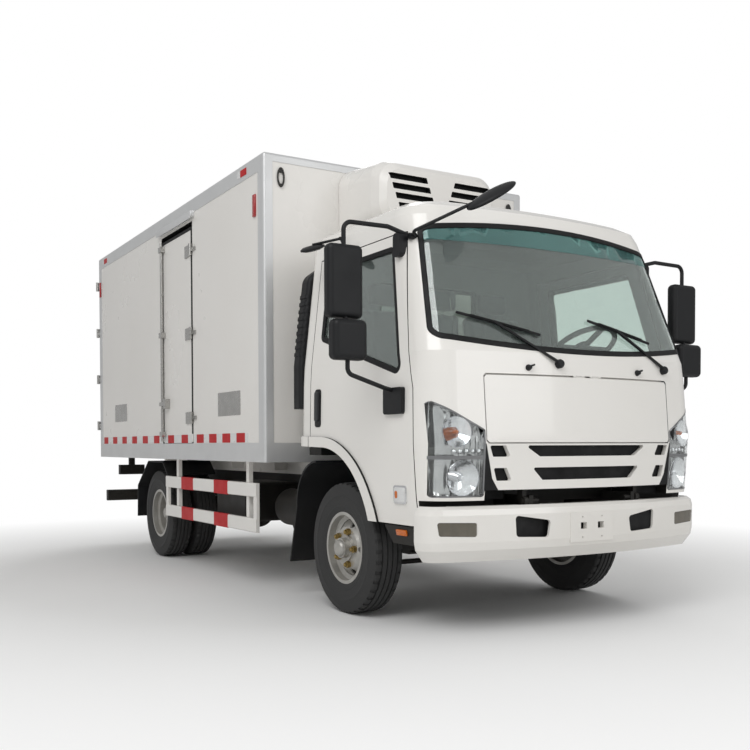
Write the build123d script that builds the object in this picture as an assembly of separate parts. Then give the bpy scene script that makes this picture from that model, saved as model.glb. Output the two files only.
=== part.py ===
from build123d import *
import os
from math import atan2, cos, degrees, radians, sin, sqrt

# A light cab-over truck with an insulated load body and a refrigeration unit.
# Millimetres. The front faces -Y, the truck's left is +X, up is +Z.
# The origin lies on the ground under the middle of the whole vehicle.

# Driving dimensions of the vehicle
OVERALL_LENGTH = 5995.0
FRONT_OVERHANG = 1095.0
WHEELBASE = 3360.0
FIT_GAP = 0.3
MOVING_GAP = 6.0

# Wheels and tyres
TYRE_RADIUS = 389.0
TYRE_HALF_WIDTH = 99.0
TYRE_WALL = 16.0
TREAD_EDGE = 22.0
TREAD_CROWN = 1.5
TREAD_BELT = 8.0
SHOULDER_DROP = 10.0
SHOULDER_ROUND = 14.0
SIDEWALL_TOP = 44.0
SIDEWALL_WIDEST = 86.0
BEAD_RISE = 4.0
RIM_RADIUS = 203.0
RIM_HALF_WIDTH = 82.0
RIM_FLANGE = 22.0
RIM_THICKNESS = 9.0
WELL_DEPTH = 26.0
WELL_HALF = 22.0
WELL_RAMP = 10.0
WELL_SLANT = 4.0
DISC_THICKNESS = 11.0
DISC_FLAT = 46.0
DISC_BORE_GAP = 4.0
FRONT_TRACK = 1690.0
REAR_TRACK = 1496.0
DUAL_SPACING = 230.0
DISC_HOLES = 5
HAND_HOLE_PCD = 316.0
HAND_HOLE_WIDTH = 62.0
HAND_HOLE_HEIGHT = 40.0
HUB_RADIUS = 78.0
HUB_CAP_STEP = 18.0
FRONT_DISH = (62.0, 18.0)
FRONT_DRUM = (-78.0, 10.0)
FRONT_HUB = (-40.0, 72.0)
FRONT_CAP = 34.0
FRONT_SPINDLE = (-100.0, 40.0)
REAR_SPINDLE = (-200.0, 40.0)
REAR_DISH_GAP = 14.0
REAR_DISC_RIM = -24.0
REAR_HUB = (-60.0, 60.0)
REAR_CAP = 70.0
SPINDLE_RADIUS = 34.0
BEARING_CLEARANCE = 0.08

# Steering and front axle
KINGPIN_X = 715.0
KINGPIN_RADIUS = 18.0
KNUCKLE_EYE_RADIUS = 42.0
KNUCKLE_EYE_HEIGHT = 120.0
STEERING_ARM = 150.0
TRACK_ROD_RADIUS = 16.0
TRACK_ROD_DROP = 132.0
DRUM_RADIUS = 158.0
DRUM_WALL = 12.0
DRUM_BACK = 14.0
REAR_DRUM_REACH = 70.0
KNUCKLE_LUG = 34.0
KNUCKLE_WEB = 26.0
KNUCKLE_HALF = 52.0
KNUCKLE_ARM_HALF = 30.0
SPINDLE_REACH = 66.0
STEERING_ARM_HALF = 20.0
STEERING_ARM_THICKNESS = 22.0
STEERING_EYE_RADIUS = 22.0
STEERING_PIN_RADIUS = 9.0
STEERING_PIN_END = 10.0
TRACK_ROD_EYE = 26.0
TRACK_ROD_EYE_RISE = 8.0
BEAM_DROP = 62.0
BEAM_HEIGHT = 70.0
BEAM_HALF_DEPTH = 38.0
BEAM_END_HALF = 40.0
BEAM_BEND_X = 490.0
BEAM_RISE_X = 100.0
BEAM_FLANGE = 14.0
BEAM_WEB_HALF = 14.0

# Frame, springs and rear axle
RAIL_X = 372.0
RAIL_WIDTH = 60.0
RAIL_HEIGHT = 180.0
RAIL_WALL = 7.0
RAIL_TOP_Z = 775.0
FRAME_FRONT = 840.0
FRAME_REAR_SETBACK = 190.0
SPRING_WIDTH = 64.0
SPRING_X = 404.0
SPRING_LENGTH = 1150.0
SPRING_THICKNESS = 56.0
REAR_SPRING_X = 420.0
TOW_HOLE_RADIUS = 20.0
TOW_LUG_THICKNESS = 28.0
MEMBER_HEIGHT = 84.0
MEMBER_DEPTH = 70.0
AXLE_CASE_HALF = 75.0
AXLE_NOSE = 225.0
AXLE_NOSE_RADIUS = 70.0
AXLE_CASE_RADIUS = 165.0
AXLE_COVER = 145.0
AXLE_COVER_RADIUS = 95.0
AXLE_TUBE_RADIUS = 62.0
REAR_SPINDLE_REACH = 50.0
SPRING_DROP = 40.0
SPRING_LEAF = 14.0
SPRING_EYE_RADIUS = 26.0
SPRING_HANGER_HALF = 30.0
SPRING_SEAT_HALF = 60.0
SPRING_CLAMP = 24.0
SPRING_SEAT_GAP = 1.0
MEMBER_AHEAD_OF_REAR_AXLE = (1100.0, 500.0, -560.0)
MEMBER_BEHIND_FRONT_AXLE = 1080.0
TOW_LUG_HALF = 60.0
TOW_LUG_REACH = 90.0
TOW_HOLE_REACH = 50.0

# Load body
BODY_WIDTH = 2160.0
BODY_LENGTH = 4067.0
BODY_BOTTOM_Z = 885.0
BODY_TOP_Z = 2914.0
REAR_GEAR_DEPTH = 50.0
FLOOR_THICKNESS = 130.0
WALL_THICKNESS = 76.0
RAIL_SKIN = 4.0
EDGE_RADIUS = 18.0
CORNER_POST = 92.0
TOP_RAIL = 112.0
SILL_WIDTH = 80.0

# Doors of the load body
SIDE_DOOR_FRONT = 2128.0
SIDE_DOOR_WIDTH = 716.0
SIDE_DOOR_BOTTOM_Z = 1026.0
SIDE_DOOR_TOP_Z = 2700.0
DOOR_SWING_GAP = 14.0
HINGE_PIN_RADIUS = 7.0
HINGE_BARREL_RADIUS = 13.0
HINGE_STANDOFF = 18.0
HINGE_HEIGHT = 92.0
REAR_POST = 86.0
REAR_HEADER = 120.0
REAR_SILL = 34.0
LOCK_ROD_RADIUS = 12.0

# Refrigeration unit
UNIT_HALF_WIDTH = 515.0
UNIT_TOP_Z = 2880.0
UNIT_BOTTOM_Z = 2330.0
UNIT_DEPTH = 470.0
UNIT_CORNER = 130.0
UNIT_SLOTS = 4

# Cab
CAB_BOTTOM_Z = 578.0
CAB_FLOOR_Z = 985.0
CAB_FLOOR_THICKNESS = 50.0
CAB_ROOF_SPLIT_Z = 2140.0
CAB_WALL = 46.0
CAB_REAR = 490.0
CAB_FRONT_RADIUS = 4000.0
CAB_CORNER_RADIUS = 200.0
CAB_REAR_RADIUS = 90.0
TILT_PIVOT = 1010.0
TILT_PIVOT_Z = 702.0
TILT_PIN_RADIUS = 14.0
TILT_PIN_LENGTH = 112.0
TILT_EYE = 18.0
TILT_LUG = 28.0
TILT_LUG_OFFSET = 34.0
FLARE_RISE = 14.0
DOOR_REAR = 330.0
GLASS_THICKNESS = 5.0
LID_THICKNESS = 20.0
LID_HALF_WIDTH = 668.0
LID_HINGE_GAP = 9.0
LID_CORNER = 13.0
LID_HINGE_WIDTH = 40.0
LID_HINGE_X = (-60.0, 60.0)
LID_PIN_RADIUS = 2.0
LID_BARREL_RADIUS = 3.4
LID_LUG_FRONT = 1.5
LID_BOTTOM_Z = 1004.0
LID_TOP_Z = 1366.0
GRILLE_BOTTOM_Z = 764.0
GRILLE_THICKNESS = 26.0
GRILLE_SLOT_CORNER = 8.0
# Grille slots by row: top and bottom z, middle slot's half widths, side slot's inner ends and outer end
GRILLE_ROWS = (
    (994.0, 936.0, 440.0, 345.0, 555.0, 525.0, 648.0),
    (878.0, 812.0, 390.0, 322.0, 545.0, 512.0, 622.0),
)
LAMP_INNER_X = 672.0
LAMP_BOTTOM_Z = 730.0
LAMP_DEPTH = 40.0
LAMP_REAR = 866.0
STEP_INNER_X = 480.0
STEP_SILL_INNER = 770.0
STEP_SILL_GAP = 8.0
STEP_SILL_OUTER = 956.0
STEP_SILL_Z = 470.0
STEP_SILL_FRONT = 836.0
STEP_SILL_REAR = 505.0
STEERING_WHEEL_RADIUS = 205.0
INTAKE_WIDTH = 100.0
INTAKE_DEPTH = 110.0
INTAKE_CORNER = 26.0
INTAKE_RIBS = 9
COLUMN_X = 430.0
SHAFT_RADIUS = 12.0

# Bumper and guards
BUMPER_HALF_WIDTH = 998.0
BUMPER_BOTTOM_Z = 396.0
BUMPER_TOP_Z = 684.0
BUMPER_WALL = 14.0
BUMPER_DEPTH = 243.0
BUMPER_FLANGE = 52.0
BUMPER_FLANGE_X = 840.0
TILT_CUT = 80.0
FOG_RECESS = 6.0
FOG_DEPTH = 30.0
GUARD_X = 1020.0
GUARD_FRONT = 1062.0
GUARD_LENGTH = 1905.0
GUARD_BOTTOM_Z = 395.0
GUARD_TOP_Z = 738.0
GUARD_BAR_HEIGHT = 98.0
GUARD_BAR_THICKNESS = 26.0

# Places that follow from the driving dimensions
FRONT_AXLE_Y = FRONT_OVERHANG - OVERALL_LENGTH / 2
REAR_AXLE_Y = FRONT_AXLE_Y + WHEELBASE
AXLE_Z = TYRE_RADIUS
BODY_REAR_Y = OVERALL_LENGTH / 2 - REAR_GEAR_DEPTH
BODY_FRONT_Y = BODY_REAR_Y - BODY_LENGTH
BODY_HALF = BODY_WIDTH / 2
PANEL_HALF = BODY_HALF - RAIL_SKIN
BODY_FLOOR_Z = BODY_BOTTOM_Z + FLOOR_THICKNESS
FRAME_REAR_Y = BODY_REAR_Y - FRAME_REAR_SETBACK
FRAME_FRONT_Y = FRONT_AXLE_Y - FRAME_FRONT
RAIL_BOTTOM_Z = RAIL_TOP_Z - RAIL_HEIGHT
FRONT_WHEEL_X = FRONT_TRACK / 2
REAR_WHEEL_X = REAR_TRACK / 2

# Cab outline by height: z, half width, front of the middle ahead of the front axle
CAB_LEVELS = (
    (CAB_BOTTOM_Z, 966.0, 1046.0),
    (LAMP_BOTTOM_Z, 974.0, 1066.0),
    (LID_BOTTOM_Z, 980.0, 1084.0),
    (LID_TOP_Z, 974.0, 1054.0),
    (1480.0, 968.0, 1042.0),
    (2235.0, 880.0, 752.0),
)
# Roof crown: rise above the last level, step in from it
ROOF_STEPS = ((55.0, 26.0), (92.0, 92.0), (113.0, 250.0))

nodes = {}


def ahead(distance):
    """Y of a place this far ahead of the front axle."""
    return FRONT_AXLE_Y - distance


def block(x0, x1, y0, y1, z0, z1):
    """Box between two corners."""
    return Pos((x0 + x1) / 2, (y0 + y1) / 2, (z0 + z1) / 2) * Box(x1 - x0, y1 - y0, z1 - z0)


def outline(*points):
    """Flat face inside a closed polyline."""
    return make_face(Polyline(*points, close=True))


def side_prism(face, x0, x1):
    """Face drawn in Y and Z, run from x0 to x1."""
    return extrude(Pos(x0, 0, 0) * (Plane.YZ * face), x1 - x0)


def front_prism(face, y0, y1):
    """Face drawn in X and Z, run from y0 to y1."""
    return extrude(Pos(0, y1, 0) * (Plane.XZ * face), y1 - y0)


def rod(x, y, z, radius, length, axis):
    """Cylinder centred on a place, along one of the axes."""
    turn = {"X": Rot(0, 90, 0), "Y": Rot(90, 0, 0), "Z": Rot(0, 0, 0)}[axis]
    return Pos(x, y, z) * turn * Cylinder(radius, length)


def bent_tube(points, radius, bend):
    """Round tube along straight runs with rounded bends."""
    path = FilletPolyline(*points, radius=bend)
    return sweep(Plane(origin=path @ 0, z_dir=path % 0) * Circle(radius), path)


def other_side(shape):
    """The same shape on the truck's other side."""
    return mirror(shape, Plane.YZ)


def both(shape):
    """A shape and its mirror image as one set of solids."""
    return Compound(children=[*shape.solids(), *other_side(shape).solids()])


def solids_of(*shapes):
    """Several solids kept apart in one node."""
    return Compound(children=[s for shape in shapes for s in shape.solids()])


# Wheels

def tyre():
    """Hollow road tyre about the X axis, its middle at the origin."""
    tread = TYRE_HALF_WIDTH - TREAD_EDGE
    shoulder = TYRE_RADIUS - SHOULDER_DROP
    bead = RIM_RADIUS + FIT_GAP
    inner = TYRE_RADIUS - TYRE_WALL - TREAD_BELT
    seat = RIM_HALF_WIDTH - RIM_THICKNESS - FIT_GAP
    lip = RIM_RADIUS + RIM_FLANGE + 1
    widest_z = shoulder - SIDEWALL_WIDEST
    crown = (0, TYRE_RADIUS)
    tread_end = (tread, shoulder + BEAD_RISE)
    side_top = (TYRE_HALF_WIDTH - 3, shoulder - SIDEWALL_TOP)
    bead_out = (RIM_HALF_WIDTH + BEAD_RISE, lip)
    bead_in = (seat - TYRE_WALL, bead)
    liner_end = (tread - 6, inner)
    half = [
        ThreePointArc(crown, (tread / 2, TYRE_RADIUS - TREAD_CROWN), tread_end),
        ThreePointArc(tread_end, (tread + SHOULDER_ROUND, shoulder - 8), side_top),
        ThreePointArc(side_top, (TYRE_HALF_WIDTH, widest_z), bead_out),
        Polyline(bead_out, (seat, lip), (seat, bead), bead_in),
        ThreePointArc(bead_in, (TYRE_HALF_WIDTH - TYRE_WALL, widest_z), liner_end),
        Polyline(liner_end, (0, inner), crown),
    ]
    profile = make_face(Wire([edge for line in half for edge in line.edges()]))
    ring = revolve(profile, Axis.X)
    return ring + mirror(ring, Plane.YZ)


def rim_ring():
    """Rim with drop centre and flanges about the X axis."""
    well = RIM_RADIUS - WELL_DEPTH
    flange = RIM_RADIUS + RIM_FLANGE
    inside = RIM_HALF_WIDTH - RIM_THICKNESS
    ramp = WELL_HALF + WELL_RAMP
    under = RIM_RADIUS - RIM_THICKNESS
    half = [(inside, flange), (RIM_HALF_WIDTH, flange), (RIM_HALF_WIDTH, under),
            (ramp + 1.5 * WELL_SLANT, under), (WELL_HALF + WELL_SLANT, well - RIM_THICKNESS)]
    top = [(WELL_HALF, well), (ramp, RIM_RADIUS), (inside, RIM_RADIUS)]
    right = top + half
    left = [(-x, radius) for x, radius in reversed(right)]
    return revolve(outline(*right, *left), Axis.X)


def wheel_disc(hub_face, rim_face):
    """Dished disc from the hub face out to the rim, with its hand holes."""
    edge = RIM_RADIUS - WELL_DEPTH - RIM_THICKNESS + 2
    flat = HUB_RADIUS + DISC_FLAT
    bore = SPINDLE_RADIUS + DISC_BORE_GAP
    back = hub_face - DISC_THICKNESS
    profile = outline((hub_face, bore), (hub_face, flat), (rim_face, edge), (rim_face - DISC_THICKNESS, edge),
                      (back, flat - DISC_BORE_GAP), (back, bore))
    disc = revolve(profile, Axis.X)
    hole = Rot(0, 90, 0) * extrude(SlotOverall(HAND_HOLE_WIDTH, HAND_HOLE_HEIGHT), 300, both=True)
    for index in range(DISC_HOLES):
        turn = Rot(360 / DISC_HOLES * (index + 0.5), 0, 0)
        disc -= turn * Pos(0, HAND_HOLE_PCD / 2, 0) * Rot(90, 0, 0) * hole
    return disc


def hub(inner, outer, cap):
    """Hub with its cap, bored for the spindle."""
    body = rod((inner + outer) / 2, 0, 0, HUB_RADIUS, outer - inner, "X")
    body += rod(outer + cap / 2, 0, 0, HUB_RADIUS - HUB_CAP_STEP, cap, "X")
    bore = SPINDLE_RADIUS + BEARING_CLEARANCE
    return body - rod((inner + outer) / 2, 0, 0, bore, outer - inner + 2 * MOVING_GAP, "X")


def spindle_bore(inner, outer):
    """Round hole for the spindle."""
    return rod((inner + outer) / 2, 0, 0, SPINDLE_RADIUS + BEARING_CLEARANCE, outer - inner, "X")


def drum(inner, outer):
    """Brake drum, open towards the axle."""
    body = rod((inner + outer) / 2, 0, 0, DRUM_RADIUS, outer - inner, "X")
    return body - rod((inner + outer) / 2 - DRUM_BACK, 0, 0, DRUM_RADIUS - DRUM_WALL, outer - inner, "X")


def front_wheel():
    """Left front wheel about its own centre, outer side +X."""
    wheel = rim_ring() + wheel_disc(*FRONT_DISH) + drum(*FRONT_DRUM)
    return wheel - spindle_bore(*FRONT_SPINDLE) + hub(*FRONT_HUB, FRONT_CAP)


def rear_wheels():
    """Left pair of rear wheels about the middle between them, outer side +X."""
    half = DUAL_SPACING / 2
    dish = half - REAR_DISH_GAP
    outer = Pos(half, 0, 0) * (rim_ring() + wheel_disc(DISC_THICKNESS - dish, REAR_DISC_RIM))
    wheels = outer + mirror(outer, Plane.YZ)
    wheels += drum(-half - REAR_DRUM_REACH, -REAR_DISH_GAP)
    return wheels - spindle_bore(*REAR_SPINDLE) + hub(*REAR_HUB, REAR_CAP)


for side, sign in (("left", 1), ("right", -1)):
    flip = (lambda s: s) if sign > 0 else other_side
    at_front = Pos(FRONT_WHEEL_X, FRONT_AXLE_Y, AXLE_Z)
    at_rear = Pos(REAR_WHEEL_X, REAR_AXLE_Y, AXLE_Z)
    nodes[f"front_{side}_wheel"] = flip(at_front * front_wheel())
    nodes[f"front_{side}_tyre"] = flip(at_front * tyre())
    nodes[f"rear_{side}_wheels"] = flip(at_rear * rear_wheels())
    pair = [at_rear * Pos(shift, 0, 0) * tyre() for shift in (-DUAL_SPACING / 2, DUAL_SPACING / 2)]
    nodes[f"rear_{side}_tyres"] = flip(solids_of(*pair))


# Steering

def knuckle():
    """Left knuckle: fork round the axle eye, spindle, brake plate and steering arm."""
    lug_z = KNUCKLE_EYE_HEIGHT / 2 + MOVING_GAP
    lug = KNUCKLE_LUG
    web_x = KNUCKLE_EYE_RADIUS + MOVING_GAP + 2
    web_out = web_x + KNUCKLE_WEB
    at = Pos(KINGPIN_X, FRONT_AXLE_Y, AXLE_Z)
    shape = rod(0, 0, 0, KINGPIN_RADIUS, 2 * (lug_z + lug), "Z")
    for sign in (1, -1):
        z = sign * (lug_z + lug / 2)
        shape += rod(0, 0, z, KNUCKLE_EYE_RADIUS, lug, "Z")
        shape += block(0, web_out, -KNUCKLE_ARM_HALF, KNUCKLE_ARM_HALF, z - lug / 2, z + lug / 2)
    shape += block(web_x, web_out, -KNUCKLE_HALF, KNUCKLE_HALF, -lug_z - lug, lug_z + lug)
    tip = FRONT_WHEEL_X - KINGPIN_X + SPINDLE_REACH
    shape += rod((web_x + tip) / 2, 0, 0, SPINDLE_RADIUS, tip - web_x, "X")
    arm_z = -lug_z - lug / 2
    arm_half = STEERING_ARM_THICKNESS / 2
    shape += block(-STEERING_ARM_HALF, STEERING_ARM_HALF, 0, STEERING_ARM, arm_z - arm_half, arm_z + arm_half)
    shape += rod(0, STEERING_ARM, arm_z, STEERING_EYE_RADIUS, STEERING_ARM_THICKNESS, "Z")
    pin_bottom = -TRACK_ROD_DROP - TRACK_ROD_RADIUS - STEERING_PIN_END
    shape += rod(0, STEERING_ARM, (arm_z + pin_bottom) / 2, STEERING_PIN_RADIUS, arm_z - pin_bottom, "Z")
    return at * shape


def track_rod():
    """Rod between the two steering arms, with an eye round each pin."""
    y = FRONT_AXLE_Y + STEERING_ARM
    z = AXLE_Z - TRACK_ROD_DROP
    shape = rod(0, y, z, TRACK_ROD_RADIUS, 2 * KINGPIN_X, "X")
    for sign in (1, -1):
        shape += rod(sign * KINGPIN_X, y, z, TRACK_ROD_EYE, 2 * TRACK_ROD_RADIUS + TRACK_ROD_EYE_RISE, "Z")
        bore = STEERING_PIN_RADIUS + BEARING_CLEARANCE
        shape -= rod(sign * KINGPIN_X, y, z, bore, 3 * TRACK_ROD_RADIUS, "Z")
    return shape


nodes["left_knuckle"] = knuckle()
nodes["right_knuckle"] = other_side(nodes["left_knuckle"])
nodes["track_rod"] = track_rod()


# Axles and springs

def front_axle():
    """Dropped beam with an eye for each kingpin."""
    low = AXLE_Z - BEAM_DROP
    high = low + BEAM_HEIGHT
    end_low, end_high = AXLE_Z - BEAM_END_HALF, AXLE_Z + BEAM_END_HALF
    rise_x = BEAM_BEND_X + BEAM_RISE_X
    right = [(BEAM_BEND_X + 10, high), (rise_x + 10, end_high), (KINGPIN_X, end_high), (KINGPIN_X, end_low),
             (rise_x, end_low), (BEAM_BEND_X, low)]
    left = [(-x, z) for x, z in reversed(right)]
    beam = front_prism(outline(*right, *left), FRONT_AXLE_Y - BEAM_HALF_DEPTH, FRONT_AXLE_Y + BEAM_HALF_DEPTH)
    groove_x = BEAM_BEND_X - 10
    groove = block(-groove_x, groove_x, BEAM_WEB_HALF, 2 * BEAM_HALF_DEPTH,
                   low + BEAM_FLANGE, high - BEAM_FLANGE)
    for sign in (1, -1):
        beam -= Pos(0, FRONT_AXLE_Y, 0) * (groove if sign > 0 else mirror(groove, Plane.XZ))
        x = sign * KINGPIN_X
        beam += rod(x, FRONT_AXLE_Y, AXLE_Z, KNUCKLE_EYE_RADIUS, KNUCKLE_EYE_HEIGHT, "Z")
        bore = KINGPIN_RADIUS + BEARING_CLEARANCE
        beam -= rod(x, FRONT_AXLE_Y, AXLE_Z, bore, KNUCKLE_EYE_HEIGHT + 2, "Z")
    return beam


def rear_axle():
    """Banjo housing with tubes and spindles."""
    plate_x = REAR_WHEEL_X - DUAL_SPACING / 2 - REAR_DRUM_REACH - MOVING_GAP
    shape = rod(0, REAR_AXLE_Y, AXLE_Z, AXLE_TUBE_RADIUS, 2 * plate_x, "X")
    case = outline((-AXLE_NOSE, 0), (-AXLE_NOSE, AXLE_NOSE_RADIUS), (-AXLE_CASE_HALF, AXLE_CASE_RADIUS - 15),
                   (-AXLE_CASE_HALF, AXLE_CASE_RADIUS), (AXLE_CASE_HALF, AXLE_CASE_RADIUS),
                   (AXLE_COVER, AXLE_COVER_RADIUS), (AXLE_COVER, 0))
    shape += Pos(0, REAR_AXLE_Y, AXLE_Z) * Rot(0, 0, 90) * revolve(case, Axis.X)
    tip = REAR_WHEEL_X + REAR_SPINDLE_REACH
    return shape + rod(0, REAR_AXLE_Y, AXLE_Z, SPINDLE_RADIUS, 2 * tip, "X")


def leaf_spring(x, axle_y, seat_z):
    """Arched pack of leaves, seated on the axle and hung from two brackets under the rail."""
    half = SPRING_LENGTH / 2
    end_z = RAIL_BOTTOM_Z - SPRING_DROP
    low_z, eye_z = end_z - SPRING_LEAF, end_z - SPRING_LEAF / 2
    y0, y1 = axle_y - half, axle_y + half
    arch = [
        ThreePointArc((y0, end_z), (axle_y, seat_z + SPRING_THICKNESS), (y1, end_z)),
        Line((y1, end_z), (y1, low_z)),
        ThreePointArc((y1, low_z), (axle_y, seat_z), (y0, low_z)),
        Line((y0, low_z), (y0, end_z)),
    ]
    x0, x1 = x - SPRING_WIDTH / 2, x + SPRING_WIDTH / 2
    pack = side_prism(make_face(Wire(arch)), x0, x1)
    for y in (y0, y1):
        pack += rod(x, y, eye_z, SPRING_EYE_RADIUS, SPRING_WIDTH, "X")
        pack += block(x0, x1, y - SPRING_HANGER_HALF, y + SPRING_HANGER_HALF, eye_z, RAIL_BOTTOM_Z)
    return pack + block(x0, x1, axle_y - SPRING_SEAT_HALF, axle_y + SPRING_SEAT_HALF,
                        seat_z - SPRING_SEAT_GAP, seat_z + SPRING_THICKNESS + SPRING_CLAMP)


nodes["front_axle"] = front_axle()
nodes["rear_axle"] = rear_axle()
front_spring = leaf_spring(SPRING_X, FRONT_AXLE_Y, AXLE_Z - BEAM_DROP + BEAM_HEIGHT + SPRING_SEAT_GAP)
rear_spring = leaf_spring(REAR_SPRING_X, REAR_AXLE_Y, AXLE_Z + AXLE_TUBE_RADIUS + SPRING_SEAT_GAP)
nodes["leaf_springs"] = solids_of(both(front_spring), both(rear_spring))


# Frame and what hangs from it

def ladder_frame():
    """Two channel rails with cross members; tilt pins on the first member, tow lug on the last."""
    inside = rail_out - RAIL_WALL
    channel = block(RAIL_X - RAIL_WIDTH / 2, rail_out, FRAME_FRONT_Y, FRAME_REAR_Y, RAIL_BOTTOM_Z, RAIL_TOP_Z)
    channel -= block(0, inside, FRAME_FRONT_Y, FRAME_REAR_Y,
                     RAIL_BOTTOM_Z + RAIL_WALL, RAIL_TOP_Z - RAIL_WALL)
    half = inside - FIT_GAP
    top = RAIL_TOP_Z - RAIL_WALL - FIT_GAP
    bottom = top - MEMBER_HEIGHT
    places = [FRAME_FRONT_Y + MEMBER_DEPTH, FRONT_AXLE_Y + MEMBER_BEHIND_FRONT_AXLE]
    places += [REAR_AXLE_Y - distance for distance in MEMBER_AHEAD_OF_REAR_AXLE]
    places.append(FRAME_REAR_Y - MEMBER_DEPTH)
    members = [block(-half, half, y - MEMBER_DEPTH / 2, y + MEMBER_DEPTH / 2, bottom, top) for y in places]
    lug = block(-TOW_LUG_HALF, TOW_LUG_HALF, FRAME_REAR_Y - MEMBER_DEPTH, FRAME_REAR_Y + TOW_LUG_REACH,
                bottom, bottom + TOW_LUG_THICKNESS)
    lug -= rod(0, FRAME_REAR_Y + TOW_HOLE_REACH, bottom, TOW_HOLE_RADIUS, 4 * TOW_LUG_THICKNESS, "Z")
    members[-1] += lug
    pivot_y = ahead(TILT_PIVOT)
    bracket = TILT_PIN_RADIUS * 2
    for x in (RAIL_X, -RAIL_X):
        members[0] += block(x - bracket / 2, x + bracket / 2,
                            pivot_y - TILT_EYE, FRAME_FRONT_Y + MEMBER_DEPTH,
                            TILT_PIVOT_Z - bracket, TILT_PIVOT_Z + bracket)
        members[0] += rod(x, pivot_y, TILT_PIVOT_Z, TILT_PIN_RADIUS, TILT_PIN_LENGTH, "X")
    return solids_of(channel, other_side(channel), *members)


ENGINE_HALF = 290.0
ENGINE_FRONT = 560.0
ENGINE_BACK = 330.0
ENGINE_Z = (480.0, 900.0)
GEARBOX_HALF = 150.0
GEARBOX_BACK = 980.0
GEARBOX_FRONT_Z = (500.0, 800.0)
GEARBOX_BACK_Z = (520.0, 700.0)
PROPELLER_RADIUS = 38.0
PROPELLER_Z = 610.0
PROPELLER_LAP = 20.0


def powertrain():
    """Plain engine block, gearbox and propeller shaft at their real places."""
    engine_y, gearbox_y = FRONT_AXLE_Y + ENGINE_BACK, FRONT_AXLE_Y + GEARBOX_BACK
    engine = block(-ENGINE_HALF, ENGINE_HALF, ahead(ENGINE_FRONT), engine_y, *ENGINE_Z)
    front, back = GEARBOX_FRONT_Z, GEARBOX_BACK_Z
    sides = outline((engine_y, front[0]), (engine_y, front[1]), (gearbox_y, back[1]), (gearbox_y, back[0]))
    gearbox = side_prism(sides, -GEARBOX_HALF, GEARBOX_HALF)
    start, start_z = gearbox_y - PROPELLER_LAP, PROPELLER_Z
    end, end_z = REAR_AXLE_Y - AXLE_NOSE, AXLE_Z
    length = sqrt((end - start) ** 2 + (end_z - start_z) ** 2)
    slope = degrees(atan2(end_z - start_z, end - start))
    shaft = Rot(slope - 90, 0, 0) * Cylinder(PROPELLER_RADIUS, length + 2 * PROPELLER_LAP)
    shaft = Pos(0, (start + end) / 2, (start_z + end_z) / 2) * shaft
    shaft -= block(-100, 100, end - FIT_GAP, end + 100, end_z - 100, end_z + 100)
    return engine + gearbox + shaft


rail_out = RAIL_X + RAIL_WIDTH / 2
nodes["ladder_frame"] = ladder_frame()
nodes["powertrain"] = powertrain()
silencer_y = FRONT_AXLE_Y + 1190
silencer = Pos(-rail_out - 190, silencer_y, 545) * Rot(90, 0, 0) * Cylinder(135, 420)
silencer = fillet(silencer.edges(), 24)
silencer += block(-rail_out - 190, -rail_out, silencer_y - 25, silencer_y + 25, 600, 680)
nodes["exhaust_silencer"] = silencer
tank = block(rail_out + 40, 900, FRONT_AXLE_Y + 1080, FRONT_AXLE_Y + 1980, 400, 730)
tank = fillet(tank.edges().filter_by(Axis.Y), 60)
for y in (1240, 1820):
    tank += block(rail_out, rail_out + 60, FRONT_AXLE_Y + y - 25, FRONT_AXLE_Y + y + 25, 560, 700)
nodes["fuel_tank"] = tank
battery = block(-880, -rail_out - 40, FRONT_AXLE_Y + 1560, FRONT_AXLE_Y + 2140, 430, 720)
battery = fillet(battery.edges(), 18)
battery += block(-rail_out - 60, -rail_out, FRONT_AXLE_Y + 1700, FRONT_AXLE_Y + 2000, 600, 690)
nodes["battery_box"] = battery


# Mudguards, side guards and the rear bar

def front_mudguard():
    """Guard behind the left front wheel, with its hanging flap."""
    y = FRONT_AXLE_Y
    lines = [
        ThreePointArc((y + 330, 890), (y + 520, 800), (y + 590, 600)),
        Line((y + 590, 600), (y + 690, 235)),
        Line((y + 690, 235), (y + 702, 238)),
        Line((y + 702, 238), (y + 602, 600)),
        ThreePointArc((y + 602, 600), (y + 530, 808), (y + 330, 902)),
        Line((y + 330, 902), (y + 330, 890)),
    ]
    guard = side_prism(make_face(Wire(lines)), 520, 940)
    return guard + block(rail_out, 560, y + 575, y + 595, 620, 680)


def rear_mudguard():
    """Guard over the left rear wheels, with its hanging flap."""
    y, reach = REAR_AXLE_Y, TYRE_RADIUS + 75
    top = AXLE_Z + reach - 5
    lines = [
        Line((y - 330, top - 110), (y - 200, top)),
        Line((y - 200, top), (y + 200, top)),
        Line((y + 200, top), (y + 520, top - 230)),
        Line((y + 520, top - 230), (y + 535, 330)),
        Line((y + 535, 330), (y + 547, 330)),
        Line((y + 547, 330), (y + 532, top - 224)),
        Line((y + 532, top - 224), (y + 204, top + 12)),
        Line((y + 204, top + 12), (y - 204, top + 12)),
        Line((y - 204, top + 12), (y - 338, top - 100)),
        Line((y - 338, top - 100), (y - 330, top - 110)),
    ]
    guard = side_prism(make_face(Wire(lines)), 540, 985)
    hanger = block(600, 660, y - 60, y + 60, top + 6, BODY_BOTTOM_Z)
    return guard + hanger


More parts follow.
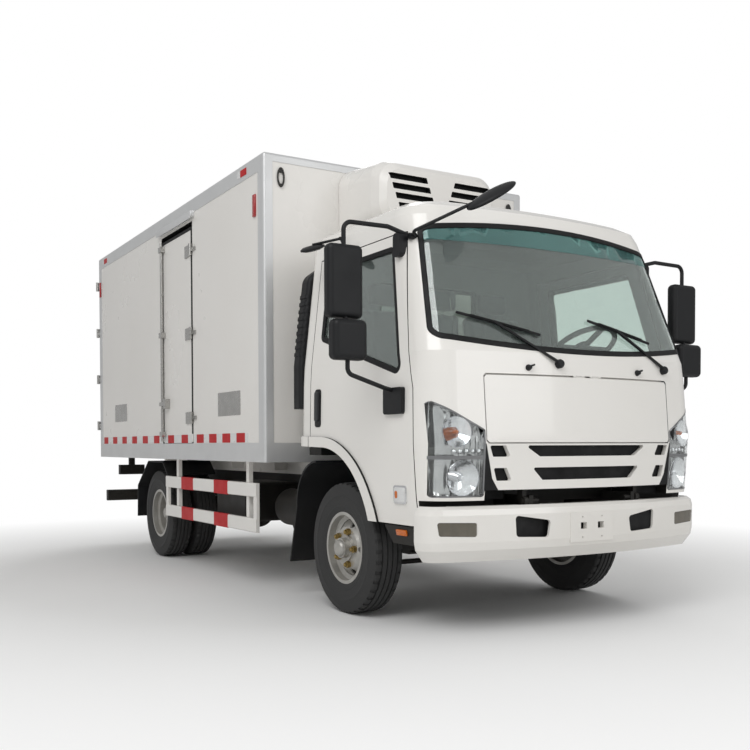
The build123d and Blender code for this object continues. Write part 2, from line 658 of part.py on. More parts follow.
def side_guard():
    """Left side guard: two bars, end posts and the hangers up to the floor."""
    y0 = FRONT_AXLE_Y + GUARD_FRONT
    y1 = y0 + GUARD_LENGTH
    x0 = GUARD_X - GUARD_BAR_THICKNESS
    guard = block(x0, GUARD_X, y0, y1, GUARD_TOP_Z - GUARD_BAR_HEIGHT, GUARD_TOP_Z)
    guard += block(x0, GUARD_X, y0, y1, GUARD_BOTTOM_Z, GUARD_BOTTOM_Z + GUARD_BAR_HEIGHT)
    guard = fillet(guard.edges().filter_by(Axis.Y).group_by(Axis.X)[-1], 10)
    for y in (y0, y1 - 55):
        guard += block(x0, GUARD_X - 4, y, y + 55, GUARD_BOTTOM_Z, GUARD_TOP_Z)
    for y in (y0 + 175, y1 - 260):
        guard += block(x0 - 30, x0, y, y + 50, GUARD_BOTTOM_Z + 10, BODY_BOTTOM_Z)
    return guard


nodes["front_mudguards"] = both(front_mudguard())
nodes["rear_mudguards"] = both(rear_mudguard())
nodes["side_guards"] = both(side_guard())

bar_y = BODY_REAR_Y - 120
bar = block(-1040, 1040, bar_y, bar_y + 70, 435, 545)
bar = fillet(bar.edges().filter_by(Axis.X), 14)
stay = side_prism(outline((FRAME_REAR_Y - 120, RAIL_BOTTOM_Z + 40), (FRAME_REAR_Y, RAIL_BOTTOM_Z + 40),
                          (bar_y + 20, 535), (bar_y + 20, 445), (bar_y - 40, 445)), rail_out, rail_out + 14)
nodes["rear_underrun_bar"] = bar + stay + other_side(stay)


# Front bumper and the chassis lamps

def rounded_front(z, half_width, front_y, rear_y, front_radius, corner_radius, rear_radius):
    """Closed run of edges at a height: curved front, round corners, straight sides and back."""
    centre_y = front_y + front_radius
    corner_x = half_width - corner_radius
    reach = front_radius - corner_radius
    corner_y = centre_y - sqrt(reach ** 2 - corner_x ** 2)
    out_x, out_y = corner_x / reach, (corner_y - centre_y) / reach
    meet = (corner_x + corner_radius * out_x, corner_y + corner_radius * out_y)
    half_turn = (atan2(out_y, out_x)) / 2
    middle = (corner_x + corner_radius * cos(half_turn), corner_y + corner_radius * sin(half_turn))
    turn = rear_radius * (1 - sqrt(0.5))
    side_end = (half_width, rear_y - rear_radius, z)
    back_end = (half_width - rear_radius, rear_y, z)
    left_back = (-back_end[0], rear_y, z)
    left_side = (-half_width, side_end[1], z)
    return [
        ThreePointArc((-meet[0], meet[1], z), (0, front_y, z), (meet[0], meet[1], z)),
        ThreePointArc((meet[0], meet[1], z), (middle[0], middle[1], z), (half_width, corner_y, z)),
        Line((half_width, corner_y, z), side_end),
        ThreePointArc(side_end, (half_width - turn, rear_y - turn, z), back_end),
        Line(back_end, left_back),
        ThreePointArc(left_back, (turn - half_width, rear_y - turn, z), left_side),
        Line(left_side, (-half_width, corner_y, z)),
        ThreePointArc((-half_width, corner_y, z), (-middle[0], middle[1], z), (-meet[0], meet[1], z)),
    ]


BUMPER_FRONT_Y = FRONT_AXLE_Y - FRONT_OVERHANG
BUMPER_RADIUS = 3600.0
BUMPER_CORNER = 125.0
BUMPER_REAR_EDGE = 3.0
# Bumper by height: z, step in from the widest form
BUMPER_LEVELS = (
    (BUMPER_BOTTOM_Z, 52.0),
    (BUMPER_BOTTOM_Z + 62, 8.0),
    (BUMPER_BOTTOM_Z + 104, 0.0),
    (BUMPER_TOP_Z - 46, 0.0),
    (BUMPER_TOP_Z - 16, 8.0),
    (BUMPER_TOP_Z, 30.0),
)


def bumper_form(inset):
    """Bumper form stepped in by a wall, closed at the back."""
    wires = []
    for z, step in BUMPER_LEVELS:
        shrink = step + inset
        wires.append(Wire(rounded_front(
            z, BUMPER_HALF_WIDTH - shrink, BUMPER_FRONT_Y + shrink, BUMPER_FRONT_Y + BUMPER_DEPTH,
            BUMPER_RADIUS - shrink, BUMPER_CORNER - shrink, BUMPER_REAR_EDGE)))
    return Solid.make_loft(wires, ruled=True)


PLATE_HALF = 157.0
PLATE_Z = (476.0, 634.0)
PLATE_SLOT_X = 62.0
PLATE_SLOT_HALF = 22.0
PLATE_SLOT_Z = (545.0, 580.0)
PLATE_SCREW_X = 70.0
PLATE_SCREW_Z = (500.0, 610.0)
PLATE_SCREW_RADIUS = 4.0
BUMPER_STAY_Z = (610.0, 660.0)
# Corners of the air hole and the fog lamp on the left: across and up
AIR_HOLE = ((285.0, 600.0), (505.0, 632.0), (498.0, 520.0), (300.0, 512.0))
AIR_HOLE_CORNER = 18.0
FOG_INNER_X = 722.0
FOG_OUTER_X = (925.0, 935.0)
FOG_INNER_Z = (528.0, 600.0)
FOG_OUTER_Z = (536.0, 606.0)
FOG_CORNER = 12.0
TAIL_LAMP_X = (640.0, 900.0)
TAIL_LAMP_Z = (700.0, 800.0)
TAIL_LAMP_DEPTH = (10.0, 70.0)
TAIL_HANGER_X = 770.0
TAIL_HANGER_HALF = 30.0
TAIL_HANGER_DEPTH = (30.0, 60.0)


def front_bumper():
    """Hollow bumper with lamp pockets, air holes, plate bracket and stays to the frame."""
    rear_y = BUMPER_FRONT_Y + BUMPER_DEPTH
    flange = block(-BUMPER_FLANGE_X, BUMPER_FLANGE_X, BUMPER_FRONT_Y, rear_y,
                   BUMPER_TOP_Z - BUMPER_WALL, BUMPER_TOP_Z)
    flange -= bumper_form(BUMPER_FLANGE)
    tilt_gap = block(RAIL_X - TILT_CUT, RAIL_X + TILT_CUT, BUMPER_FRONT_Y, rear_y, 0, BUMPER_TOP_Z)
    flange -= tilt_gap + other_side(tilt_gap)
    shape = bumper_form(0) - (bumper_form(BUMPER_WALL) - flange)
    y0, y1 = BUMPER_FRONT_Y - 5, rear_y
    for sign in (1, -1):
        shape -= bumper_hole(sign)
        shape -= front_prism(fog_outline(sign, 0), y0, y1)
    shape += block(-PLATE_HALF, PLATE_HALF, BUMPER_FRONT_Y, BUMPER_FRONT_Y + 2 * BUMPER_WALL, *PLATE_Z)
    for sign in (1, -1):
        slot_x = sign * PLATE_SLOT_X
        shape -= block(slot_x - PLATE_SLOT_HALF, slot_x + PLATE_SLOT_HALF, y0, y1, *PLATE_SLOT_Z)
        for z in PLATE_SCREW_Z:
            shape -= rod(sign * PLATE_SCREW_X, BUMPER_FRONT_Y, z, PLATE_SCREW_RADIUS, 10 * BUMPER_WALL, "Y")
        x0, x1 = sorted((sign * RAIL_X, sign * rail_out))
        stay = block(x0, x1, BUMPER_FRONT_Y + 2 * BUMPER_WALL, FRAME_FRONT_Y, *BUMPER_STAY_Z)
        shape += stay - bumper_hole(sign)
    return shape


def bumper_hole(sign):
    """Air hole through the bumper's face."""
    hole = fillet(outline(*[(sign * x, z) for x, z in AIR_HOLE]).vertices(), AIR_HOLE_CORNER)
    return front_prism(hole, BUMPER_FRONT_Y - 5, BUMPER_FRONT_Y + BUMPER_FLANGE + 20)


def fog_outline(sign, gap):
    """Front view of a fog lamp, stepped in by a gap."""
    inner = sign * (FOG_INNER_X + gap)
    lower, upper = (sign * (x - gap) for x in FOG_OUTER_X)
    lens = outline((inner, FOG_INNER_Z[0] + gap), (inner, FOG_INNER_Z[1] - gap),
                   (upper, FOG_OUTER_Z[1] - gap), (lower, FOG_OUTER_Z[0] + gap))
    return fillet(lens.vertices(), FOG_CORNER)


nodes["front_bumper"] = front_bumper()
fogs = []
for sign in (1, -1):
    fog = front_prism(fog_outline(sign, FIT_GAP), BUMPER_FRONT_Y - 5, BUMPER_FRONT_Y + 300)
    fogs.append((fog & bumper_form(FOG_RECESS)) - bumper_form(FOG_RECESS + FOG_DEPTH))
tail = block(*TAIL_LAMP_X, BODY_REAR_Y - TAIL_LAMP_DEPTH[1], BODY_REAR_Y - TAIL_LAMP_DEPTH[0], *TAIL_LAMP_Z)
tail += block(TAIL_HANGER_X - TAIL_HANGER_HALF, TAIL_HANGER_X + TAIL_HANGER_HALF,
              BODY_REAR_Y - TAIL_HANGER_DEPTH[1], BODY_REAR_Y - TAIL_HANGER_DEPTH[0],
              TAIL_LAMP_Z[1] - 5, BODY_BOTTOM_Z)
nodes["chassis_lamps"] = solids_of(*fogs, tail, other_side(tail))


# Load body

PANEL_FRONT_Y = BODY_FRONT_Y + RAIL_SKIN
ROOF_BOTTOM_Z = BODY_TOP_Z - RAIL_SKIN - WALL_THICKNESS
WALL_FRONT_Y = PANEL_FRONT_Y + WALL_THICKNESS
WALL_REAR_Y = BODY_REAR_Y - WALL_THICKNESS
WALL_INNER_X = PANEL_HALF - WALL_THICKNESS
SIDE_DOOR_Y0 = FRONT_AXLE_Y + SIDE_DOOR_FRONT
SIDE_DOOR_Y1 = SIDE_DOOR_Y0 + SIDE_DOOR_WIDTH
REAR_OPEN_X = PANEL_HALF - REAR_POST
REAR_OPEN_Z0 = BODY_FLOOR_Z + REAR_SILL
REAR_OPEN_Z1 = BODY_TOP_Z - RAIL_SKIN - REAR_HEADER
SIDE_SEAL = 40.0


POST_LAP = 26.0
BEARERS = 5
BEARER_END = 200.0
BEARER_X = 520.0
BEARER_HALF = 30.0


def panel_edges(edges):
    """Round the outer edges of a panel to lie inside the edge rails."""
    return fillet(edges, EDGE_RADIUS - RAIL_SKIN)


def body_floor():
    """Insulated floor on two long sills and cross bearers."""
    floor = block(-PANEL_HALF, PANEL_HALF, PANEL_FRONT_Y, WALL_REAR_Y, BODY_BOTTOM_Z, BODY_FLOOR_Z)
    for sign in (1, -1):
        x0, x1 = sign * RAIL_X - SILL_WIDTH / 2, sign * RAIL_X + SILL_WIDTH / 2
        floor += block(x0, x1, PANEL_FRONT_Y, FRAME_REAR_Y, RAIL_TOP_Z, BODY_BOTTOM_Z)
    pitch = (FRAME_REAR_Y - PANEL_FRONT_Y - 2 * BEARER_END) / (BEARERS - 1)
    for index in range(BEARERS):
        y = PANEL_FRONT_Y + BEARER_END + index * pitch
        if abs(y - REAR_AXLE_Y) > BEARER_END:
            floor += block(-BEARER_X, BEARER_X, y - BEARER_HALF, y + BEARER_HALF,
                           RAIL_TOP_Z + BEARER_HALF, BODY_BOTTOM_Z)
    corners = [edge for edge in floor.edges().filter_by(Axis.Z)
               if abs(edge.center().Y - PANEL_FRONT_Y) < 1 and abs(abs(edge.center().X) - PANEL_HALF) < 1]
    return panel_edges(corners)


def edge_rails():
    """Rounded aluminium skin along the edges of the body, cut open over its panels."""
    skin = block(-BODY_HALF, BODY_HALF, BODY_FRONT_Y, BODY_REAR_Y, BODY_BOTTOM_Z, BODY_TOP_Z)
    corners = skin.edges().filter_by(Axis.Z).group_by(Axis.Y)[0]
    top = skin.edges().group_by(Axis.Z)[-1].sort_by(Axis.Y)[:-1]
    skin = fillet([*corners, *top], EDGE_RADIUS)
    panels = block(-PANEL_HALF, PANEL_HALF, PANEL_FRONT_Y, BODY_REAR_Y + 1,
                   BODY_BOTTOM_Z - 1, BODY_TOP_Z - RAIL_SKIN)
    inner_edges = panels.edges().filter_by(Axis.Z).group_by(Axis.Y)[0]
    inner_top = panels.edges().group_by(Axis.Z)[-1].sort_by(Axis.Y)[:-1]
    skin -= panel_edges([*inner_edges, *inner_top])
    y0, y1 = BODY_FRONT_Y + CORNER_POST, BODY_REAR_Y - CORNER_POST
    skin -= block(-BODY_HALF - 1, BODY_HALF + 1, y0, y1, BODY_FLOOR_Z, BODY_TOP_Z - TOP_RAIL)
    front_x = BODY_HALF - CORNER_POST + POST_LAP
    skin -= block(-front_x, front_x, BODY_FRONT_Y - 1, BODY_FRONT_Y + 50,
                  BODY_FLOOR_Z, BODY_TOP_Z - TOP_RAIL / 2)
    return skin - block(-front_x, front_x, y0, y1, BODY_TOP_Z - 50, BODY_TOP_Z + 1)


def body_front_wall():
    """Front wall with rounded outer corners."""
    wall = block(-PANEL_HALF, PANEL_HALF, PANEL_FRONT_Y, WALL_FRONT_Y, BODY_FLOOR_Z, ROOF_BOTTOM_Z)
    return panel_edges(wall.edges().filter_by(Axis.Z).group_by(Axis.Y)[0])


def body_roof():
    """Roof slab with three rounded outer edges."""
    roof = block(-PANEL_HALF, PANEL_HALF, PANEL_FRONT_Y, BODY_REAR_Y, ROOF_BOTTOM_Z, BODY_TOP_Z - RAIL_SKIN)
    top = roof.edges().group_by(Axis.Z)[-1].sort_by(Axis.Y)[:-1]
    corners = roof.edges().filter_by(Axis.Z).group_by(Axis.Y)[0]
    return panel_edges([*top, *corners])


def body_side_wall(sign):
    """Long side wall."""
    x0, x1 = sorted((sign * WALL_INNER_X, sign * PANEL_HALF))
    return block(x0, x1, WALL_FRONT_Y, WALL_REAR_Y, BODY_FLOOR_Z, ROOF_BOTTOM_Z)


def body_rear_frame():
    """Portal round the rear doorway."""
    frame = block(-PANEL_HALF, PANEL_HALF, WALL_REAR_Y, BODY_REAR_Y, BODY_BOTTOM_Z, ROOF_BOTTOM_Z)
    opening = block(-REAR_OPEN_X, REAR_OPEN_X, WALL_REAR_Y - 1, BODY_REAR_Y + 1, REAR_OPEN_Z0, REAR_OPEN_Z1)
    return frame - opening


nodes["body_floor"] = body_floor()
nodes["body_edge_rails"] = edge_rails()
nodes["body_front_wall"] = body_front_wall()
nodes["body_roof"] = body_roof()
nodes["body_left_wall"] = body_side_wall(1)
doorway = block(-PANEL_HALF - 1, -WALL_INNER_X + 1, SIDE_DOOR_Y0 - MOVING_GAP,
                SIDE_DOOR_Y1 + DOOR_SWING_GAP, BODY_FLOOR_Z, SIDE_DOOR_TOP_Z + SIDE_SEAL)
nodes["body_right_wall"] = body_side_wall(-1) - doorway
nodes["body_rear_frame"] = body_rear_frame()


# Doors of the load body, their hinges and lock gear

def barrel(x, y, z, height, bore):
    """Hinge barrel about a vertical pin."""
    shape = rod(x, y, z, HINGE_BARREL_RADIUS, height, "Z")
    return shape - rod(x, y, z, bore, height + 2, "Z") if bore else shape


def fixed_hinge(pin, z, plate):
    """Pin and middle barrel on the plate that is bolted to the body."""
    shape = rod(*pin, z, HINGE_PIN_RADIUS, HINGE_HEIGHT, "Z") + barrel(*pin, z, HINGE_HEIGHT / 3, 0)
    return shape + plate


def moving_hinge(pin, z, strap):
    """Two outer barrels on a door's strap."""
    bore = HINGE_PIN_RADIUS + BEARING_CLEARANCE
    height = HINGE_HEIGHT / 3 - 2
    for sign in (1, -1):
        barrel_z = z + sign * HINGE_HEIGHT / 3
        strap += barrel(*pin, barrel_z, height, 0)
        strap -= rod(*pin, barrel_z, bore, height + 2, "Z")
    return strap


LOCK_END = 6.0
LOCK_KEEP_END = 60.0
LOCK_KEEP_HALF = (34.0, 22.0)
LOCK_KEEP_LAP = 4.0
HANDLE_REACH = (130.0, 16.0)
HANDLE_HALF = 16.0
HANDLE_THICKNESS = 4.0
CATCH_WIDTH = 44.0
CATCH_HALF = 40.0
HINGE_PLATE = 8.0
HINGE_PLATE_HALF = 14.0
HINGE_KNUCKLE_HALF = 13.0
HINGE_ARM_HALF = 4.0


def lock_gear(upright, plate, along, rise, handle_z, depth):
    """Upright lock rod with its keeps and a lever handle, on a door's outer face."""
    z0, z1 = rise[0] + LOCK_END, rise[1] - LOCK_END
    middle = depth / 2
    gear = upright(along, middle, (z0 + z1) / 2, LOCK_ROD_RADIUS, z1 - z0)
    keep, keep_half = LOCK_KEEP_HALF
    for z in (z0 + LOCK_KEEP_END, (z0 + z1) / 2 + LOCK_KEEP_END, z1 - LOCK_KEEP_END):
        gear += plate(along - keep, along + keep, 0, middle + LOCK_ROD_RADIUS + LOCK_KEEP_LAP,
                      z - keep_half, z + keep_half)
    tip = along - HANDLE_REACH[0]
    gear += plate(tip, along + HANDLE_REACH[1], middle - HANDLE_THICKNESS, depth,
                  handle_z - HANDLE_HALF, handle_z + HANDLE_HALF)
    return gear + plate(tip, tip + CATCH_WIDTH, 0, depth, handle_z - CATCH_HALF, handle_z + CATCH_HALF)


def side_upright(y, out, z, radius, length):
    """Upright rod in front of the side door."""
    return rod(-PANEL_HALF - out, y, z, radius, length, "Z")


def side_plate(y0, y1, out0, out1, z0, z1):
    """Block on the outside of the right wall."""
    return block(-PANEL_HALF - out1, -PANEL_HALF - out0, y0, y1, z0, z1)


def rear_upright(x, out, z, radius, length):
    """Upright rod behind a rear door."""
    return rod(x, BODY_REAR_Y + out, z, radius, length, "Z")


def rear_plate(x0, x1, out0, out1, z0, z1):
    """Block on the back of the body."""
    return block(x0, x1, BODY_REAR_Y + out0, BODY_REAR_Y + out1, z0, z1)


SIDE_HINGE_Z = (1215.0, 1875.0, 2520.0)
SIDE_HINGE_PLATE = 78.0
SIDE_HINGE_BOSS = 24.0
SIDE_STRAP = (16.0, 150.0)
SIDE_STRAP_ROOT = (1.0, 30.0)
SIDE_LOCK_INSET = 40.0
SIDE_HANDLE_Z = 1345.0
SIDE_GEAR_DEPTH = 46.0
side_pin = (-PANEL_HALF - HINGE_STANDOFF, SIDE_DOOR_Y0 - MOVING_GAP / 2)
side_fixed = []
side_moving = []
for z in SIDE_HINGE_Z:
    low, high = z - HINGE_PLATE_HALF, z + HINGE_PLATE_HALF
    plate = side_plate(side_pin[1] - SIDE_HINGE_PLATE, side_pin[1], 0, HINGE_PLATE, low, high)
    plate += side_plate(side_pin[1] - SIDE_HINGE_BOSS, side_pin[1], 0, HINGE_STANDOFF, low, high)
    side_fixed.append(fixed_hinge(side_pin, z, plate))
    strap = Part()
    for sign in (1, -1):
        barrel_z = z + sign * HINGE_HEIGHT / 3
        low, high = barrel_z - HINGE_KNUCKLE_HALF, barrel_z + HINGE_KNUCKLE_HALF
        strap += side_plate(SIDE_DOOR_Y0 + SIDE_STRAP_ROOT[0], SIDE_DOOR_Y0 + SIDE_STRAP_ROOT[1],
                            0, HINGE_STANDOFF + HINGE_ARM_HALF, low, high)
        strap += block(side_pin[0] - HINGE_ARM_HALF, side_pin[0] + HINGE_ARM_HALF,
                       side_pin[1], SIDE_DOOR_Y0 + HINGE_ARM_HALF, low, high)
    strap += side_plate(SIDE_DOOR_Y0 + SIDE_STRAP[0], SIDE_DOOR_Y0 + SIDE_STRAP[1], 0, HINGE_PLATE,
                        z - HINGE_HEIGHT / 2, z + HINGE_HEIGHT / 2)
    side_moving.append(moving_hinge(side_pin, z, strap))

side_rise = (SIDE_DOOR_BOTTOM_Z, SIDE_DOOR_TOP_Z)
nodes["side_door"] = block(-PANEL_HALF, -WALL_INNER_X, SIDE_DOOR_Y0, SIDE_DOOR_Y1, *side_rise)
side_lock = lock_gear(side_upright, side_plate, SIDE_DOOR_Y1 - SIDE_LOCK_INSET, side_rise, SIDE_HANDLE_Z,
                      SIDE_GEAR_DEPTH)
nodes["side_door_gear"] = solids_of(side_lock, *side_moving)

REAR_LEAF_X0 = 11.0
REAR_LEAF_X1 = REAR_OPEN_X - MOVING_GAP
REAR_LEAF_Z0 = REAR_OPEN_Z0 + MOVING_GAP
REAR_LEAF_Z1 = REAR_OPEN_Z1 - MOVING_GAP
REAR_HINGES = 4
REAR_HINGE_END = 150.0
REAR_HINGE_BOSS = 20.0
REAR_STRAP = (190.0, 4.0)
REAR_STRAP_ROOT = 60.0
REAR_STRAP_THICKNESS = 10.0
REAR_ARM_OUT = (9.0, 19.0)
REAR_LOCK_X = 190.0
REAR_HANDLE_Z = 1380.0
rear_pin = (PANEL_HALF + HINGE_STANDOFF, BODY_REAR_Y + HINGE_STANDOFF)
rear_fixed = []
rear_moving = []
hinge_pitch = (REAR_LEAF_Z1 - REAR_LEAF_Z0 - 2 * REAR_HINGE_END) / (REAR_HINGES - 1)
strap_x0, strap_x1 = (REAR_LEAF_X1 - inset for inset in REAR_STRAP)
root_x = REAR_LEAF_X1 - REAR_STRAP_ROOT
for index in range(REAR_HINGES):
    z = REAR_LEAF_Z0 + REAR_HINGE_END + index * hinge_pitch
    low, high = z - HINGE_PLATE_HALF, z + HINGE_PLATE_HALF
    plate = rear_plate(REAR_OPEN_X + HINGE_PLATE, PANEL_HALF + RAIL_SKIN, 0, HINGE_PLATE, low, high)
    plate += rear_plate(PANEL_HALF - REAR_HINGE_BOSS, rear_pin[0], 0, HINGE_STANDOFF, low, high)
    rear_fixed.append(fixed_hinge(rear_pin, z, plate))
    strap = rear_plate(strap_x0, strap_x1, 0, REAR_STRAP_THICKNESS,
                       z - HINGE_HEIGHT / 2, z + HINGE_HEIGHT / 2)
    for sign in (1, -1):
        barrel_z = z + sign * HINGE_HEIGHT / 3
        low, high = barrel_z - HINGE_KNUCKLE_HALF, barrel_z + HINGE_KNUCKLE_HALF
        strap += rear_plate(root_x, rear_pin[0], *REAR_ARM_OUT, low, high)
        strap += rear_plate(root_x, strap_x1, 0, REAR_ARM_OUT[1], low, high)
    rear_moving.append(moving_hinge(rear_pin, z, strap))
nodes["door_hinges"] = solids_of(*side_fixed, *[both(hinge) for hinge in rear_fixed])

rear_leaf = block(REAR_LEAF_X0, REAR_LEAF_X1, WALL_REAR_Y, BODY_REAR_Y, REAR_LEAF_Z0, REAR_LEAF_Z1)
rear_lock = lock_gear(rear_upright, rear_plate, REAR_LOCK_X, (REAR_LEAF_Z0, REAR_LEAF_Z1), REAR_HANDLE_Z,
                      REAR_GEAR_DEPTH)
nodes["rear_left_door"] = rear_leaf
nodes["rear_left_door_gear"] = solids_of(rear_lock, *rear_moving)
nodes["rear_right_door"] = other_side(rear_leaf)
nodes["rear_right_door_gear"] = other_side(nodes["rear_left_door_gear"])


# Refrigeration unit

UNIT_SLOT_TOP = 124.0
UNIT_SLOT_STEP = 24.0
UNIT_SLOT_OUTER = 409.0
UNIT_SLOT_INNER = 115.0
UNIT_SLOT_CORNER = 5.0
UNIT_SLOT_DEPTH = 45.0
# Unit from the wall to its front: depth, half width, bottom z, top z
UNIT_LEVELS = (
    (0.0, UNIT_HALF_WIDTH, UNIT_BOTTOM_Z, UNIT_TOP_Z),
    (UNIT_DEPTH - 110, UNIT_HALF_WIDTH - 34, UNIT_BOTTOM_Z + 95, UNIT_TOP_Z - 26),
    (UNIT_DEPTH - 40, UNIT_HALF_WIDTH - 56, UNIT_BOTTOM_Z + 112, UNIT_TOP_Z - 48),
    (UNIT_DEPTH, UNIT_HALF_WIDTH - 92, UNIT_BOTTOM_Z + 132, UNIT_TOP_Z - 84),
)
UNIT_SLOT_HEIGHT = 38.0
UNIT_SLOT_PITCH = 61.0


def refrigeration_unit():
    """Rounded housing on the front wall with two groups of slanted air slots."""
    sections = []
    for depth, half_width, bottom, top in UNIT_LEVELS:
        face = RectangleRounded(2 * half_width, top - bottom, UNIT_CORNER)
        sections.append(Pos(0, BODY_FRONT_Y - depth, (bottom + top) / 2) * Rot(90, 0, 0) * face)
    unit = loft(sections, ruled=True)
    flange_x = UNIT_HALF_WIDTH - UNIT_CORNER
    unit += block(-flange_x, flange_x, BODY_FRONT_Y - 1, PANEL_FRONT_Y,
                  UNIT_BOTTOM_Z + 30, UNIT_TOP_Z - TOP_RAIL)
    front = BODY_FRONT_Y - UNIT_DEPTH
    for index in range(UNIT_SLOTS):
        top = UNIT_TOP_Z - UNIT_SLOT_TOP - index * UNIT_SLOT_PITCH
        bottom = top - UNIT_SLOT_HEIGHT
        lean = UNIT_SLOT_STEP * index
        outer, inner = UNIT_SLOT_OUTER - lean, UNIT_SLOT_INNER - lean
        for sign in (1, -1):
            slot = outline((sign * outer, top), (sign * inner, top),
                           (sign * (inner - UNIT_SLOT_STEP / 2), bottom),
                           (sign * (outer - UNIT_SLOT_STEP / 2), bottom))
            unit -= front_prism(fillet(slot.vertices(), UNIT_SLOT_CORNER), front - 5, front + UNIT_SLOT_DEPTH)
    return unit


nodes["refrigeration_unit"] = refrigeration_unit()


# Cab

def cab_level(z):
    """Half width and front of the cab at a height, between the stated levels."""
    below = [row for row in CAB_LEVELS if row[0] <= z][-1]
    above = [row for row in CAB_LEVELS if row[0] >= z][0]
    share = (z - below[0]) / (above[0] - below[0]) if above[0] > below[0] else 0.0
    return tuple(low + share * (high - low) for low, high in zip(below[1:], above[1:]))


def cab_wire(z, half_width, front, rear, inset, step=0.0):
    """Plan of the cab at a height, stepped in by a wall and by the roof's crown."""
    shrink = inset + step
    edges = rounded_front(z, half_width - shrink, ahead(front) + shrink, FRONT_AXLE_Y + rear - shrink,
                          CAB_FRONT_RADIUS, CAB_CORNER_RADIUS - inset, CAB_REAR_RADIUS - inset)
    return Wire(edges)


def cab_form(inset, bottom=CAB_BOTTOM_Z, roof=True, rear=CAB_REAR):
    """Cab form stepped in by an inset, from a height up to the roof crown."""
    rows = [(bottom, *cab_level(bottom))] + [row for row in CAB_LEVELS if row[0] > bottom + 1]
    wires = [cab_wire(*row, rear, inset) for row in rows]
    top, half_width, front = CAB_LEVELS[-1]
    if roof:
        for rise, step in ROOF_STEPS:
            wires.append(cab_wire(top + rise - inset, half_width, front, rear, inset, step))
    return Solid.make_loft(wires, ruled=True)


def door_outline(gap):
    """Side view of a cab door without its wheel arch, stepped in by a gap."""
    rear = FRONT_AXLE_Y + DOOR_REAR - gap
    corner = outline(
        (ahead(842 - gap), CAB_BOTTOM_Z - 50), (ahead(842 - gap), CAB_BOTTOM_Z), (ahead(812 - gap), 1290),
        (ahead(612 - gap), CAB_ROOF_SPLIT_Z - gap), (rear, CAB_ROOF_SPLIT_Z - gap), (rear, CAB_BOTTOM_Z - 50))
    return corner


def arch_outline(grow):
    """Side view of the wheel arch, grown by the width of its flare."""
    y = FRONT_AXLE_Y
    reach = 1.5 * grow
    lines = [
        ThreePointArc((y - 372 - reach, 560), (y - 195 - grow, 850 + 0.6 * grow), (y + 180, 985 + grow)),
        Line((y + 180, 985 + grow), (y + 700, 1000 + grow)),
        Line((y + 700, 1000 + grow), (y + 700, 400)),
        Line((y + 700, 400), (y - 372 - reach, 400)),
        Line((y - 372 - reach, 400), (y - 372 - reach, 560)),
    ]
    return make_face(Wire(lines))


WINDOW_SILL_FRONT = 712.0
WINDOW_SILL_FRONT_Z = 1352.0
WINDOW_SILL_REAR_Z = 1632.0
WINDOW_TOP_FRONT = 516.0
WINDOW_TOP_Z = 2076.0
WINDOW_REAR = 236.0
WINDOW_CORNER = 48.0


def window_outline(gap):
    """Side view of a door window, its sill dropping towards the front."""
    rear = FRONT_AXLE_Y + WINDOW_REAR - gap
    top = WINDOW_TOP_Z - gap
    face = outline((ahead(WINDOW_SILL_FRONT - gap), WINDOW_SILL_FRONT_Z + gap),
                   (ahead(WINDOW_TOP_FRONT - gap), top), (rear, top), (rear, WINDOW_SILL_REAR_Z + gap))
    return fillet(face.vertices(), WINDOW_CORNER)


def windscreen_outline(gap):
    """Front view of the windscreen."""
    lines = [
        ThreePointArc((-916 + gap, 1545 + gap), (0, 1482 + gap), (916 - gap, 1545 + gap)),
        Line((916 - gap, 1545 + gap), (838 - gap, 2166 - gap)),
        ThreePointArc((838 - gap, 2166 - gap), (0, 2218 - gap), (-838 + gap, 2166 - gap)),
        Line((-838 + gap, 2166 - gap), (-916 + gap, 1545 + gap)),
    ]
    face = make_face(Wire(lines))
    return fillet(face.vertices(), 56)


def rear_window_outline(gap):
    """Front view of the window in the cab's back."""
    return Pos(0, 1890) * RectangleRounded(2 * (400 - gap), 2 * (180 - gap), 50)


LAMP_INNER_TOP_Z = 1076.0
LAMP_OUTER_TOP_Z = 1232.0
LAMP_TOP_X = 953.0
LAMP_BOTTOM_X = 944.0
LAMP_CORNER = 18.0
GRILLE_TAPER = 40.0
GRILLE_SHOULDER = 60.0
GRILLE_BOTTOM_X = 590.0


def lamp_outline(sign, gap):
    """Front view of a headlamp with its slanted top."""
    inner = LAMP_INNER_X + gap
    bottom = LAMP_BOTTOM_Z + gap
    face = outline((sign * inner, bottom), (sign * inner, LAMP_INNER_TOP_Z - gap),
                   (sign * (LAMP_TOP_X - gap), LAMP_OUTER_TOP_Z - gap),
                   (sign * (LAMP_BOTTOM_X - gap), bottom))
    return fillet(face.vertices(), LAMP_CORNER)


def lid_outline(gap, top_gap):
    """Front view of the lid below the windscreen."""
    half = LID_HALF_WIDTH - gap
    top = LID_TOP_Z - top_gap
    bottom = LID_BOTTOM_Z + gap
    cut = LID_CORNER
    return outline((-half, bottom + cut), (-half, top - cut), (-half + cut, top), (half - cut, top),
                   (half, top - cut), (half, bottom + cut), (half - cut, bottom), (-half + cut, bottom))


def grille_outline(gap):
    """Front view of the grille between the headlamps."""
    half = LAMP_INNER_X - 4 - gap
    top = LID_BOTTOM_Z - gap
    side, shoulder = half - GRILLE_TAPER, GRILLE_BOTTOM_Z + GRILLE_SHOULDER
    low_x, low_z = GRILLE_BOTTOM_X - gap, GRILLE_BOTTOM_Z + gap
    return outline((-half, top), (half, top), (side, shoulder), (low_x, low_z), (-low_x, low_z),
                   (-side, shoulder))


